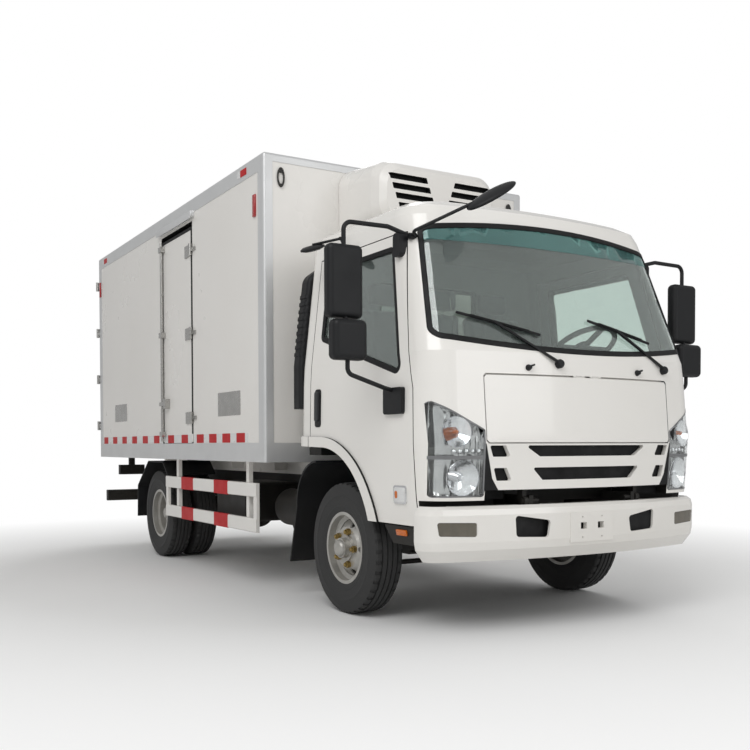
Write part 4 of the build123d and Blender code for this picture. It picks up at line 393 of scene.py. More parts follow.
def settle(name: str, scale: Point = (1.0, 1.0, 1.0), along: Vector | None = None) -> Piece:
    """Names the new primitive and puts its place, turn and size into its mesh.

    Args:
        name: name of the piece.
        scale: size along its own axes.
        along: direction that its Z axis takes, if it is turned.

    Returns:
        The piece.
    """
    piece = bpy.context.object
    piece.name = name
    piece.data.name = name
    piece.scale = scale
    if along is not None:
        piece.rotation_euler = along.to_track_quat("Z", "Y").to_euler()
    bpy.ops.object.transform_apply(location=True, rotation=True, scale=True)
    return piece


def start_block(name: str, low: Point, high: Point) -> Piece:
    """Starts a piece from a cube between two corners.

    Args:
        name: name of the piece.
        low: lowest corner.
        high: highest corner.

    Returns:
        The piece.
    """
    deselect()
    bpy.ops.mesh.primitive_cube_add(size=1.0, location=[(a + b) / 2 for a, b in zip(low, high)])
    return settle(name, [b - a for a, b in zip(low, high)])


def start_bar(name: str, start: Point, end: Point, width: float, height: float) -> Piece:
    """Starts a piece from a cube stretched between two points.

    Args:
        name: name of the piece.
        start: middle of one end.
        end: middle of the other end.
        width: size across, level.
        height: size across, upwards.

    Returns:
        The piece.
    """
    deselect()
    a, b = Vector(start), Vector(end)
    bpy.ops.mesh.primitive_cube_add(size=1.0, location=(a + b) / 2)
    return settle(name, (width, height, (b - a).length), b - a)


def start_rod(name: str, start: Point, end: Point, radius: float, sides: int) -> Piece:
    """Starts a piece from a cylinder between two points.

    Args:
        name: name of the piece.
        start: middle of one end.
        end: middle of the other end.
        radius: radius of the rod.
        sides: faces around it.

    Returns:
        The piece.
    """
    deselect()
    a, b = Vector(start), Vector(end)
    bpy.ops.mesh.primitive_cylinder_add(vertices=sides, radius=radius, depth=(b - a).length,
                                        location=(a + b) / 2)
    return settle(name, along=b - a)


def spun(name: str, profile: Profile, steps: int, closed: bool = False) -> Piece:
    """Spins a profile about the X axis.

    Args:
        name: name of the piece.
        profile: distance along the axis and radius of each point.
        steps: steps of the turn.
        closed: whether the last point joins the first.

    Returns:
        The piece, about the origin.
    """
    deselect()
    bpy.ops.mesh.primitive_circle_add(vertices=len(profile), radius=1.0)
    piece = settle(name)
    for vertex, (along, radius) in zip(piece.data.vertices, profile):
        vertex.co = (along, 0.0, radius)
    with editing(piece):
        bpy.ops.mesh.select_mode(type="EDGE")
        if not closed:
            bpy.ops.mesh.select_all(action="DESELECT")
            mesh = bmesh.from_edit_mesh(piece.data)
            mesh.verts.ensure_lookup_table()
            mesh.edges.get((mesh.verts[0], mesh.verts[len(profile) - 1])).select_set(True)
            bmesh.update_edit_mesh(piece.data)
            bpy.ops.mesh.delete(type="EDGE")
        bpy.ops.mesh.select_all(action="SELECT")
        bpy.ops.mesh.spin(steps=steps, angle=2 * math.pi, center=(0, 0, 0), axis=(1, 0, 0))
        bpy.ops.mesh.select_all(action="SELECT")
        bpy.ops.mesh.remove_doubles(threshold=0.00005)
        bpy.ops.mesh.normals_make_consistent(inside=False)
    return piece


def applied(piece: Piece) -> Piece:
    """Applies every modifier of a piece.

    Args:
        piece: piece with modifiers.

    Returns:
        The piece.
    """
    activate(piece)
    for modifier in list(piece.modifiers):
        bpy.ops.object.modifier_apply(modifier=modifier.name)
    return piece


def soften(piece: Piece, width: float, segments: int = 2) -> Piece:
    """Rounds the sharp edges with a bevel modifier that is applied.

    Args:
        piece: piece to round.
        width: width of the bevel.
        segments: steps across it.

    Returns:
        The piece.
    """
    bevel = piece.modifiers.new("soft edges", "BEVEL")
    bevel.width = width
    bevel.segments = segments
    bevel.limit_method = "ANGLE"
    bevel.angle_limit = math.radians(EDGE_ANGLE)
    return applied(piece)


def thicken(piece: Piece, thickness: float, offset: float = OUTWARDS) -> Piece:
    """Gives a sheet its thickness.

    Args:
        piece: sheet with outward faces.
        thickness: thickness of the wall.
        offset: side on which it grows.

    Returns:
        The piece.
    """
    wall = piece.modifiers.new("wall", "SOLIDIFY")
    wall.thickness = thickness
    wall.offset = offset
    return applied(piece)


def round_upright(piece: Piece, axis: int, radius: float, segments: int = 4) -> Piece:
    """Rounds the four edges of a block that run along one axis.

    Args:
        piece: block to round.
        axis: 0, 1 or 2 for X, Y or Z.
        radius: corner radius.
        segments: steps of the rounding.

    Returns:
        The piece.
    """
    with editing(piece):
        bpy.ops.mesh.select_mode(type="EDGE")
        bpy.ops.mesh.select_all(action="DESELECT")
        mesh = bmesh.from_edit_mesh(piece.data)
        for edge in mesh.edges:
            run = (edge.verts[1].co - edge.verts[0].co).normalized()
            edge.select_set(abs(run[axis]) > 0.99)
        bmesh.update_edit_mesh(piece.data)
        bpy.ops.mesh.bevel(offset=radius, segments=segments)
    return piece


def rounded_plate(name: str, low: Point, high: Point, axis: int, corner: float, edge: float) -> Piece:
    """Builds a plate with round corners about one axis and soft edges."""
    return soften(round_upright(start_block(name, low, high), axis, corner), edge)


def sink(piece: Piece, test: FaceTest, border: float, move: Point) -> Piece:
    """Insets the faces that pass a test and moves what lies within the border.

    Args:
        piece: piece to shape.
        test: answers for a face's middle and normal.
        border: width that stays where it is.
        move: how far the rest moves.

    Returns:
        The piece.
    """
    with editing(piece):
        pick(piece, test)
        bpy.ops.mesh.inset(thickness=border)
        bpy.ops.mesh.extrude_region_move(TRANSFORM_OT_translate={"value": move})
    return piece


def skin_of(name: str, node: str, keep: FaceTest) -> Piece:
    """Copies the faces of a CAD node that pass a test, merged into one sheet.

    Args:
        name: name of the piece.
        node: CAD node to copy.
        keep: answers for a face's middle and normal.

    Returns:
        The sheet.
    """
    piece = bpy.data.objects.new(name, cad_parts[node].data.copy())
    bpy.context.scene.collection.objects.link(piece)
    piece.data.materials.clear()
    with editing(piece):
        bpy.ops.mesh.select_all(action="SELECT")
        bpy.ops.mesh.remove_doubles(threshold=0.0001)
        if pick(piece, lambda middle, normal: not keep(middle, normal)):
            bpy.ops.mesh.delete(type="FACE")
        bpy.ops.mesh.select_all(action="DESELECT")
        bpy.ops.mesh.select_loose()
        bpy.ops.mesh.delete(type="VERT")
    return piece


def border_of(piece: Piece, width: float) -> Piece:
    """Keeps only a band along the outline of a sheet.

    Args:
        piece: sheet to cut down.
        width: width of the band.

    Returns:
        The band.
    """
    with editing(piece):
        bpy.ops.mesh.select_mode(type="FACE")
        bpy.ops.mesh.select_all(action="SELECT")
        bpy.ops.mesh.inset(thickness=width, use_boundary=True)
        bpy.ops.mesh.delete(type="FACE")
    return piece


def gasket(name: str, node: str, keep: FaceTest, width: float, rise: float) -> Piece:
    """Builds a raised band along the outline of a surface of a CAD node."""
    return thicken(border_of(skin_of(name, node, keep), width), rise)


def cut_level(piece: Piece, z: float, keep_above: bool) -> Piece:
    """Cuts a sheet off at a height.

    Args:
        piece: sheet to cut.
        z: height of the cut.
        keep_above: whether the upper part stays.

    Returns:
        The piece.
    """
    with editing(piece):
        bpy.ops.mesh.select_all(action="SELECT")
        bpy.ops.mesh.bisect(plane_co=(0, 0, z), plane_no=(0, 0, 1), clear_inner=keep_above,
                            clear_outer=not keep_above)
    return piece


def copied(piece: Piece, name: str, change: Matrix) -> Piece:
    """Copies a piece with its own mesh, moved or turned.

    Args:
        piece: piece to copy.
        name: name of the copy.
        change: matrix that takes the piece to the copy.

    Returns:
        The copy.
    """
    twin = bpy.data.objects.new(name, piece.data.copy())
    twin.data.name = name
    bpy.context.scene.collection.objects.link(twin)
    twin.data.transform(change)
    return twin


def joined(name: str, parts: Sequence[Piece]) -> Piece:
    """Joins several meshes into one piece.

    Args:
        name: name of the piece.
        parts: meshes to join.

    Returns:
        The piece.
    """
    deselect()
    for part in parts:
        part.select_set(True)
    bpy.context.view_layer.objects.active = parts[0]
    bpy.ops.object.join()
    parts[0].name = name
    return parts[0]


TREES: dict[str, BVHTree] = {}


def surface(node: str, start: Point, way: Point) -> tuple[Vector, Vector]:
    """Finds where a line first meets a CAD node.

    Args:
        node: CAD node to meet.
        start: start of the line.
        way: direction of the line.

    Returns:
        The point met and the surface normal there.
    """
    if node not in TREES:
        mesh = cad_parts[node].data
        TREES[node] = BVHTree.FromPolygons([v.co for v in mesh.vertices], [f.vertices for f in mesh.polygons])
    place, normal, _, _ = TREES[node].ray_cast(Vector(start), Vector(way).normalized())
    if place is None:
        raise ValueError(f"no surface of {node} from {tuple(start)}")
    return place, normal


def from_front(node: str, x: float, z: float) -> tuple[Vector, Vector]:
    """Finds the front of a CAD node at a place across the truck and a height."""
    return surface(node, (x, AHEAD, z), (0, 1, 0))


def from_side(node: str, sign: float, y: float, z: float) -> tuple[Vector, Vector]:
    """Finds the outer side of a CAD node at a place along the truck and a height."""
    return surface(node, (sign * BESIDE, y, z), (-sign, 0, 0))


def onto(place: Vector, normal: Vector) -> Matrix:
    """Gives the matrix that lays a piece built along +X onto a surface."""
    return Matrix.Translation(place) @ normal.to_track_quat("X", "Z").to_matrix().to_4x4()


def lay(piece: Piece, place: Vector, normal: Vector) -> Piece:
    """Lays a piece built along +X onto a surface."""
    piece.data.transform(onto(place, normal))
    return piece


def dress(piece: Piece, body: str, finish: Finish, smooth: float = EDGE_ANGLE) -> Piece:
    """Gives a finished piece its material, its shading and the body it rides on.

    Args:
        piece: finished piece.
        body: CAD body that carries it.
        finish: finish of its surface.
        smooth: angle in degrees under which edges shade smooth.

    Returns:
        The piece.
    """
    piece.data.materials.clear()
    piece.data.materials.append(finish.make())
    activate(piece)
    bpy.ops.object.shade_smooth_by_angle(angle=math.radians(smooth))
    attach(piece, body)
    log.info("%s rides on %s in %s", piece.name, body, finish.name)
    return piece


def paint_node(node: str, finish: Finish, extra: Sequence[tuple[Finish, FaceTest]] = ()) -> None:
    """Gives a CAD node its finish, and other finishes to the faces that pass a test.

    Args:
        node: CAD node.
        finish: finish of most faces.
        extra: further finishes with the faces that take them; a later one wins.
    """
    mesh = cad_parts[node].data
    mesh.materials.clear()
    for material in [finish, *(row[0] for row in extra)]:
        mesh.materials.append(material.make())
    for face in mesh.polygons:
        chosen = [i + 1 for i, row in enumerate(extra) if row[1](face.center, face.normal)]
        face.material_index = chosen[-1] if chosen else 0
    log.info("%s in %s", node, finish.name)


def paint_nodes(finish: Finish, *nodes: str) -> None:
    """Gives several CAD nodes one finish."""
    for node in nodes:
        paint_node(node, finish)


# Sub-assemblies

@dataclass
class CabShell:
    """Painted shell of the cab, its glazing and what is screwed to it."""

    floor_z: float = 0.97
    skirt_top: float = 0.99
    skirt_half: float = 0.915
    skin_half: float = 0.93
    skin_front: float = FRONT_AXLE - 0.9
    grille_top: float = 1.0
    grille_half: float = 0.69
    gap_top: float = 0.76
    grille_back: float = FRONT_AXLE - 1.062
    gap_back: float = FRONT_AXLE - 1.0
    lug_half: float = 0.5
    lug_top: float = 0.8
    lug_front: float = FRONT_AXLE - 0.93
    sill_top: float = 0.577
    doorway_half: float = 0.79
    doorway_top: Span = (2.1, 2.145)
    doorway_front: float = FRONT_AXLE - 0.5
    doorway_rear: Span = (FRONT_AXLE + 0.3, FRONT_AXLE + 0.4)
    mirror_way: Triple = (0.6, 0.1, -0.79)
    mirror_z: float = 2.15
    seal_width: float = 0.03
    seal_rise: float = 0.007
    back_seal_rise: float = 0.012
    shade_bottom: float = 2.085
    shade_thickness: float = 0.0016
    jet_place: Span = (0.397, 1.4)
    jet_profile: Profile = ((-0.004, 0.017), (0.006, 0.017), (0.012, 0.014), (0.022, 0.011), (0.026, 0.0))
    lamp_place: Span = (-0.66, FRONT_AXLE - 0.2)
    lamp_profile: Profile = ((-0.004, 0.055), (0.008, 0.055), (0.022, 0.046), (0.034, 0.026), (0.038, 0.0))
    reflector_place: Span = (FRONT_AXLE - 0.673, 0.535)
    reflector_size: Span = (0.1, 0.032)
    reflector_out: Span = (-0.003, 0.008)

    def inside(self, middle: Vector, normal: Vector) -> bool:
        """Tells whether a face of the shell looks into the cab."""
        return middle.z > self.floor_z and normal.dot((middle - CAB_MIDDLE).normalized()) < -0.25

    def hidden_front(self, middle: Vector, normal: Vector) -> bool:
        """Tells whether a face lies behind the grille or in the gap over the bumper, which takes painted
        shadow.
        """
        back = self.grille_back if middle.z > self.gap_top else self.gap_back
        return (middle.z < self.grille_top and abs(middle.x) < self.grille_half and normal.y < -SLANT
                and middle.y > back)

    def underside(self, middle: Vector, normal: Vector) -> bool:
        """Tells whether a face looks down at the chassis or into a wheel arch, where black paint stands for
        the shade under the cab.
        """
        turned_in = normal.z < -SLIGHT or abs(middle.x) < self.skirt_half
        return middle.z < self.skirt_top and turned_in and not self.on_skin(middle, normal)

    def tilt_lug(self, middle: Vector, normal: Vector) -> bool:
        """Tells whether a face belongs to the lugs of the tilt pins or to the step sills."""
        lug = abs(middle.x) < self.lug_half and middle.z < self.lug_top and middle.y < self.lug_front
        return lug or middle.z < self.sill_top

    def jamb(self, middle: Vector, normal: Vector) -> bool:
        """Tells whether a face lies in a doorway, where the rubber seals sit.

        Args:
            middle: middle of the face.
            normal: its normal.

        Returns:
            Whether it does.
        """
        across = abs(middle.x) > self.doorway_half and abs(normal.x) < HALF
        top = self.doorway_top[0] < middle.z < self.doorway_top[1] and normal.z < -HALF
        front = middle.y < self.doorway_front and normal.y > SLIGHT
        rear = self.doorway_rear[0] < middle.y < self.doorway_rear[1] and normal.y < -SLIGHT
        return across and (top or front or rear)

    def on_skin(self, middle: Vector, normal: Vector) -> bool:
        """Tells whether a low face is outer skin at the front or the side."""
        front = normal.y < -HALF and middle.y < self.skin_front
        return front or abs(normal.x) > STEEP and abs(middle.x) > self.skin_half

    def mirror_glass(self, middle: Vector, normal: Vector) -> bool:
        """Tells whether a face is the silvered side of the front mirror."""
        return normal.dot(Vector(self.mirror_way)) > 0.95 and middle.z > self.mirror_z

    def screen(self, middle: Vector, normal: Vector) -> bool:
        """Tells whether a face is the outside of the windscreen."""
        return middle.y < FRONT_AXLE - 0.4 and normal.y < -LEAN and abs(normal.z) < SQUARE

    def back_window(self, middle: Vector, normal: Vector) -> bool:
        """Tells whether a face is the outside of the back window."""
        return middle.y > FRONT_AXLE and normal.y > SQUARE

    def paint(self) -> None:
        """Paints the shell outside, trims it inside and paints black as shade behind the grille, over the
        bumper and under the cab.
        """
        # Painted shade: shadow black behind the grille and over the bumper, chassis black under the cab and
        # in its arches
        extra = [(Finishes.trim, self.inside), (Finishes.frame_paint, self.underside),
                 (Finishes.shadow_black, self.hidden_front), (Finishes.frame_paint, self.tilt_lug),
                 (Finishes.rubber, self.jamb)]
        for node in ("cab_front", "cab_back", "cab_roof", "cab_floor"):
            paint_node(node, Finishes.enamel, extra)
        paint_nodes(Finishes.enamel, "front_lid", "grille")
        paint_node("air_intake", Finishes.black_abs)
        paint_node("front_mirror", Finishes.black_abs, [(Finishes.mirror, self.mirror_glass)])
        paint_node("cab_glass", Finishes.glass)

    def glazing(self) -> None:
        """Builds the rubber seals of both windows and the tinted band of the windscreen."""
        seal = gasket("windscreen_seal", "cab_glass", self.screen, self.seal_width, self.seal_rise)
        dress(soften(seal, TRIM_EDGE), "cab", Finishes.rubber)
        band = cut_level(skin_of("windscreen_shade", "cab_glass", self.screen), self.shade_bottom, True)
        dress(thicken(band, self.shade_thickness, ASTRIDE), "cab", Finishes.shade_film)
        seal = gasket("back_window_seal", "cab_glass", self.back_window, self.seal_width, self.back_seal_rise)
        dress(soften(seal, TRIM_EDGE), "cab", Finishes.rubber)

    def washer_jets(self) -> None:
        """Builds the two washer jets under the windscreen."""
        base = spun("washer_jet_left", self.jet_profile, 16)
        nozzle = start_bar("nozzle", (0.016, 0.0, 0.004), (0.016, 0.03, 0.014), 0.012, 0.01)
        jet = joined("washer_jet_left", [base, soften(nozzle, TRIM_EDGE)])
        x, z = self.jet_place
        for side, sign in SIDES:
            fitted = copied(jet, f"washer_jet_{side}_fitted", onto(*from_front("cab_front", sign * x, z)))
            dress(fitted, "cab", Finishes.black_abs)
        bpy.data.objects.remove(jet)

    def roof_lamp(self) -> None:
        """Builds the small domed lamp on the roof."""
        place, normal = surface("cab_roof", (*self.lamp_place, ABOVE), (0, 0, -1))
        dress(lay(spun("roof_lamp", self.lamp_profile, 24), place, normal), "cab", Finishes.black_abs)

    def sill_reflectors(self) -> None:
        """Builds the amber reflectors on the step sills."""
        length, height = self.reflector_size
        back, out = self.reflector_out
        for side, sign in SIDES:
            lens = rounded_plate(f"sill_reflector_{side}", (back, -length / 2, -height / 2),
                                 (out, length / 2, height / 2), 0, 0.006, TRIM_EDGE)
            lay(lens, *from_side("cab_floor", sign, *self.reflector_place))
            dress(lens, "cab", Finishes.amber_lens)

    def build(self) -> None:
        """Builds and dresses everything on the shell."""
        self.paint()
        self.sill_reflectors()
        self.glazing()
        self.washer_jets()
        self.roof_lamp()


@dataclass
class Wipers:
    """Two parked wipers with a cap, an arm, a blade and its spine each."""

    pivot_z: float = 1.425
    pivots: Span = (-0.20, 0.64)
    reach: float = 0.62
    lean_deg: float = 66.0
    heel: Span = (0.09, 0.15)
    cap_profile: Profile = ((-0.01, 0.024), (0.02, 0.024), (0.03, 0.018), (0.033, 0.0))
    arm_rise: Span = (0.022, 0.024)
    arm_size: Span = (0.02, 0.012)
    grip_share: float = 0.42
    blade_rise: float = 0.012
    blade_size: Span = (0.012, 0.014)
    spine_rise: float = 0.021
    spine_size: Span = (0.02, 0.008)
    spine_ends: Span = (0.15, 0.85)

    def build(self) -> None:
        """Builds both wipers, which stand for the CAD node."""
        lean = math.radians(self.lean_deg)
        side_reach, high_reach = self.reach * math.sin(lean), self.reach * math.cos(lean)
        for index, x in enumerate(self.pivots):
            foot, normal = from_front("cab_front", x, self.pivot_z)
            tip, out = from_front("cab_glass", x - side_reach, self.pivot_z + high_reach)
            near, near_out = from_front("cab_glass", x - self.heel[0], self.pivot_z + self.heel[1])
            cap = lay(spun("cap", self.cap_profile, 20), foot, normal)
            grip = tip.lerp(near, self.grip_share) + out * self.arm_rise[1]
            arm = start_bar("arm", foot + normal * self.arm_rise[0], grip, *self.arm_size)
            soften(arm, BOLD_EDGE)
            ends = (near + near_out * self.blade_rise, tip + out * self.blade_rise)
            blade = soften(start_bar("blade", *ends, *self.blade_size), BOLD_EDGE)
            ends = [near.lerp(tip, share) + out * self.spine_rise for share in self.spine_ends]
            spine = soften(start_bar("spine", *ends, *self.spine_size), TRIM_EDGE)
            piece = joined(f"wiper_{index + 1}", [cap, arm, blade, spine])
            dress(piece, "cab", Finishes.black_abs)
            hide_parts("wipers")


@dataclass
class Headlamps:
    """Tall headlamps: clear lens, fluted housing, two metallised bowls, divider bar and light row."""

    upper: Span = (0.825, 1.065)
    lower: Span = (0.79, 0.828)
    upper_radius: float = 0.08
    lower_radius: float = 0.092
    bowl_back: float = 0.008
    bowl_depth: float = 0.03
    bowl_steps: int = 6
    bowl_share: float = 0.96
    step_rise: float = 0.0015
    step_share: float = 0.02
    bulb_profile: Profile = ((-0.03, 0.013), (-0.012, 0.013), (-0.004, 0.009), (-0.001, 0.0))
    lens_wall: float = 0.003
    rim_width: float = 0.009
    rim_rise: float = 0.0015
    divider: Span = (0.924, 0.942)
    divider_rise: float = 0.003
    row_z: float = 0.963
    row_x: tuple[float, ...] = (0.70, 0.735, 0.77, 0.805, 0.84)
    row_back: float = 0.006
    dot_profile: Profile = ((-0.014, 0.011), (-0.008, 0.011), (-0.004, 0.006), (-0.003, 0.0))

    def faces(self, sign: float, outside: bool) -> FaceTest:
        """Gives the test for the faces of one lamp.

        Args:
            sign: 1 for the left lamp, -1 for the right.
            outside: whether its outside is wanted, or else its back and edges.

        Returns:
            The test.
        """
        ahead = Vector((sign * 0.5, -0.86, 0.0))
        return lambda middle, normal: middle.x * sign > 0 and (normal.dot(ahead) > LEAN) == outside

    def bowl(self, name: str, centre: Span, radius: float, bulb: Finish, sign: float) -> None:
        """Builds a reflector bowl with its bulb behind the lens.

        Args:
            name: start of the pieces' names.
            centre: place across and height of the bowl.
            radius: radius of its rim.
            bulb: finish of the bulb.
            sign: 1 for the left lamp, -1 for the right.
        """
        place, normal = from_front("headlamps", sign * centre[0], centre[1])
        place = place - normal * self.bowl_back
        curve = [(0.001, radius), (-0.003, radius)]
        for k in range(self.bowl_steps, 0, -1):
            share = k / self.bowl_steps
            depth = self.bowl_depth * (1 - share ** 2)
            curve += [(-depth, radius * self.bowl_share * share),
                      (-depth - self.step_rise, radius * self.bowl_share * (share - self.step_share))]
        curve.append((-self.bowl_depth, 0.0))
        dress(lay(spun(f"{name}_bowl", curve, 40), place, normal), "cab", Finishes.chrome, ROUND_ANGLE)
        dress(lay(spun(f"{name}_bulb", self.bulb_profile, 16), place, normal), "cab", bulb)

    def build(self) -> None:
        """Builds both lamps over the CAD lamps, which they stand for."""
        for side, sign in SIDES:
            outer = self.faces(sign, True)
            lens = thicken(skin_of(f"headlamp_{side}_lens", "headlamps", outer), self.lens_wall, INWARDS)
            dress(lens, "cab", Finishes.lens)
            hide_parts("headlamps")
            housing = skin_of(f"headlamp_{side}_housing", "headlamps", self.faces(sign, False))
            dress(housing, "cab", Finishes.reflector)
            rim = gasket(f"headlamp_{side}_rim", "headlamps", outer, self.rim_width, self.rim_rise)
            dress(rim, "cab", Finishes.bezel)
            bar = cut_level(skin_of(f"headlamp_{side}_divider", "headlamps", outer), self.divider[0], True)
            bar = thicken(cut_level(bar, self.divider[1], False), self.divider_rise)
            dress(bar, "cab", Finishes.bezel)
            self.bowl(f"headlamp_{side}_upper", self.upper, self.upper_radius, Finishes.amber_lens, sign)
            self.bowl(f"headlamp_{side}_lower", self.lower, self.lower_radius, Finishes.chrome, sign)
            lights = []
            for x in self.row_x:
                place, normal = from_front("headlamps", sign * x, self.row_z)
                dot = spun("dot", self.dot_profile, 12)
                lights.append(lay(dot, place - normal * self.row_back, normal))
            dress(joined(f"headlamp_{side}_row", lights), "cab", Finishes.chrome)


@dataclass
class CabDoor:
    """One cab door: paint, window seal, handle, turn lamp and mirrors."""

    side: str
    sign: float
    seal_width: float = 0.028
    seal_rise: float = 0.013
    handle_y: float = FRONT_AXLE + 0.225
    handle_z: Span = (1.107, 1.337)
    lamp_y: float = FRONT_AXLE - 0.694
    lamp_z: float = 0.737
    mirror_x: float = 1.263
    mirror_corner: float = 0.018
    # Name, place along the truck, lower and upper edge and half width of each mirror
    mirror_rows: tuple = (("main", FRONT_AXLE - 0.56, 1.682, 1.998, 0.072),
                          ("wide", FRONT_AXLE - 0.60, 1.464, 1.608, 0.068))

    @property
    def body(self) -> str:
        """Name of the body that carries the door."""
        return f"cab_{self.side}_door"

    def edge(self, middle: Vector, normal: Vector) -> bool:
        """Tells whether a face is the door's edge, which carries its seal."""
        return abs(normal.x) < LEAN

    def pane(self, middle: Vector, normal: Vector) -> bool:
        """Tells whether a face is the outside of the window."""
        return normal.x * self.sign > HALF

    def plate(self, name: str, y: float, z: float, size: Point, finish: Finish, corner: float) -> None:
        """Builds a rounded plate that lies on the door.

        Args:
            name: end of the piece's name.
            y: place along the truck.
            z: height of its middle.
            size: how far it stands out, its length and its height.
            finish: finish of the plate.
            corner: radius of its corners.
        """
        out, length, height = size
        piece = rounded_plate(f"door_{self.side}_{name}", (-0.006, -length / 2, -height / 2),
                              (out, length / 2, height / 2), 0, corner, min(BOLD_EDGE, out / 3))
        dress(lay(piece, *from_side(self.body, self.sign, y, z)), self.body, finish)

    def mirrors(self) -> None:
        """Builds the silvered plates of the two mirrors."""
        x = self.sign * self.mirror_x
        for name, y, z0, z1, half in self.mirror_rows:
            glass = rounded_plate(f"mirror_{self.side}_{name}", (x - half, y - 0.004, z0),
                                  (x + half, y + 0.003, z1), 1, self.mirror_corner, FINE_EDGE)
            dress(glass, self.body, Finishes.mirror)

    def build(self) -> None:
        """Builds and dresses the door."""
        paint_node(self.body, Finishes.enamel,
                   [(Finishes.trim, CabShell().inside), (Finishes.rubber, self.edge)])
        glass = f"cab_{self.side}_glass"
        paint_node(glass, Finishes.glass)
        paint_node(f"cab_{self.side}_mirror", Finishes.black_abs)
        seal = gasket(f"door_{self.side}_seal", glass, self.pane, self.seal_width, self.seal_rise)
        dress(soften(seal, TRIM_EDGE), self.body, Finishes.rubber)
        low, high = self.handle_z
        middle, tall = (low + high) / 2, high - low
        y, z = self.lamp_y, self.lamp_z
        self.plate("handle_cup", self.handle_y, middle, (0.005, 0.074, tall), Finishes.black_abs, 0.02)
        self.plate("handle", self.handle_y, middle + 0.01, (0.02, 0.04, tall - 0.05), Finishes.dark_trim,
                   0.014)
        self.plate("turn_lamp_rim", y, z, (0.008, 0.122, 0.098), Finishes.chrome, 0.016)
        self.plate("turn_lamp", y - 0.004, z, (0.013, 0.1, 0.078), Finishes.white_film, 0.012)
        self.plate("turn_bulb", y + 0.026, z, (0.015, 0.026, 0.04), Finishes.amber_lens, 0.01)
        self.mirrors()


@dataclass
class DoorTopMirror:
    """Small round mirror on a bent arm over the back of the right door."""

    foot: Span = (FRONT_AXLE - 0.02, 2.12)
    centre: Triple = (-1.055, FRONT_AXLE + 0.14, 2.168)
    bend: Triple = (-0.05, 0.02, 0.09)
    aim: Triple = (-0.35, -0.15, 0.92)
    radius: float = 0.075
    arm_radius: float = 0.008
    knee_profile: Profile = ((-0.012, 0.0), (-0.009, 0.009), (0.0, 0.012), (0.009, 0.009), (0.012, 0.0))

    def build(self) -> None:
        """Builds the arm and the head."""
        place, normal = from_side("cab_right_door", -1.0, *self.foot)
        centre = Vector(self.centre)
        elbow = place + Vector(self.bend)
        first = start_rod("first", place - normal * 0.004, elbow, self.arm_radius, 12)
        second = start_rod("second", elbow, centre + Vector((0, 0, 0.02)), self.arm_radius, 12)
        knee = spun("knee", self.knee_profile, 12)
        knee.data.transform(Matrix.Translation(elbow))
        shell = [(-0.016, 0.0), (-0.014, 0.05), (-0.006, self.radius), (0.004, self.radius), (0.012, 0.06),
                 (0.016, 0.0)]
        head = lay(spun("head", shell, 28), centre, Vector(self.aim).normalized())
        mirror = joined("door_top_mirror", [first, second, knee, head])
        dress(mirror, "cab_right_door", Finishes.black_abs)


@dataclass
class Cushions:
    """Cloth seats: cushion, back and head restraint, swelled by simulation."""

    base_z: float = 1.24
    # Name, middle across the truck and width of each seat
    seats: tuple = (("driver", 0.43, 0.5), ("passenger", -0.43, 0.5), ("middle", 0.0, 0.3))
    side_gap: float = 0.012
    corner: float = 0.04
    rest_half: float = 0.12
    rest_corner: float = 0.03
    back_place: Triple = (0.0, FRONT_AXLE + 0.262, 1.375)
    back_lean: float = -7.5
    voxel: float = 0.011
    frames: int = 14
    pressure: float = 3.0
    most_swell: float = 0.012
    channel_depth: float = 0.008
    channel_width: float = 0.012

    def pad(self, name: str, low: Point, high: Point, corner: float) -> Piece:
        """Builds a padded block whose faces swell.

        Args:
            name: name of the pad.
            low: lowest corner.
            high: highest corner.
            corner: width of its rounding.

        Returns:
            The pad.
        """
        pad = soften(start_block(name, low, high), corner, 4)
        with editing(pad):
            bpy.ops.mesh.select_all(action="SELECT")
            bpy.ops.mesh.subdivide(number_cuts=2)
        pad.data.remesh_voxel_size = self.voxel
        activate(pad)
        bpy.ops.object.voxel_remesh()
        self.swell(pad)
        return pad

    def swell(self, pad: Piece) -> None:
        """Blows a pad up as cloth and limits how far it moves.

        Args:
            pad: pad to swell.
        """
        cloth = pad.modifiers.new("swell", "CLOTH")
        cloth.settings.use_pressure = True
        cloth.settings.uniform_pressure_force = self.pressure
        cloth.settings.effector_weights.gravity = 0.0
        cloth.settings.quality = 3
        cloth.point_cache.frame_start = 1
        cloth.point_cache.frame_end = self.frames
        rest = [v.co.copy() for v in pad.data.vertices]
        for number in range(1, self.frames + 1):
            bpy.context.scene.frame_set(number)
        applied(pad)
        bpy.context.scene.frame_set(1)
        for vertex, was in zip(pad.data.vertices, rest):
            moved = vertex.co - was
            vertex.co = was + moved * min(1.0, self.most_swell / max(moved.length, 1e-6))

    def channel(self, pad: Piece, places: Sequence[float]) -> None:
        """Sinks sewn channels into a pad.

        Args:
            pad: pad to sew.
            places: their places across the truck.
        """
        normals = [v.normal.copy() for v in pad.data.vertices]
        for vertex, normal in zip(pad.data.vertices, normals):
            near = min(abs(vertex.co.x - place) for place in places)
            vertex.co -= normal * self.channel_depth * math.exp(-(near / self.channel_width) ** 2)

    def build(self) -> None:
        """Builds the three seats, which stand for the CAD node."""
        y, z = FRONT_AXLE, self.base_z
        lean = Matrix.Translation(self.back_place) @ Matrix.Rotation(math.radians(self.back_lean), 4, "X")
        for name, x, width in self.seats:
            half = width / 2 - self.side_gap
            seat = self.pad("cushion", (x - half, y - 0.18, z + 0.004), (x + half, y + 0.21, z + 0.115),
                            self.corner)
            back = self.pad("back", (x - half, -0.05, 0.0), (x + half, 0.05, 0.5), self.corner)
            for pad in (seat, back):
                self.channel(pad, (x - half / 2, x + half / 2))
            back.data.transform(lean)
            rest = self.pad("rest", (x - self.rest_half, y + 0.29, z + 0.655),
                            (x + self.rest_half, y + 0.365, z + 0.79), self.rest_corner)
            piece = joined(f"seat_{name}", [seat, back, rest])
            dress(piece, "cab", Finishes.cloth, ROUND_ANGLE)
            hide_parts("seats")


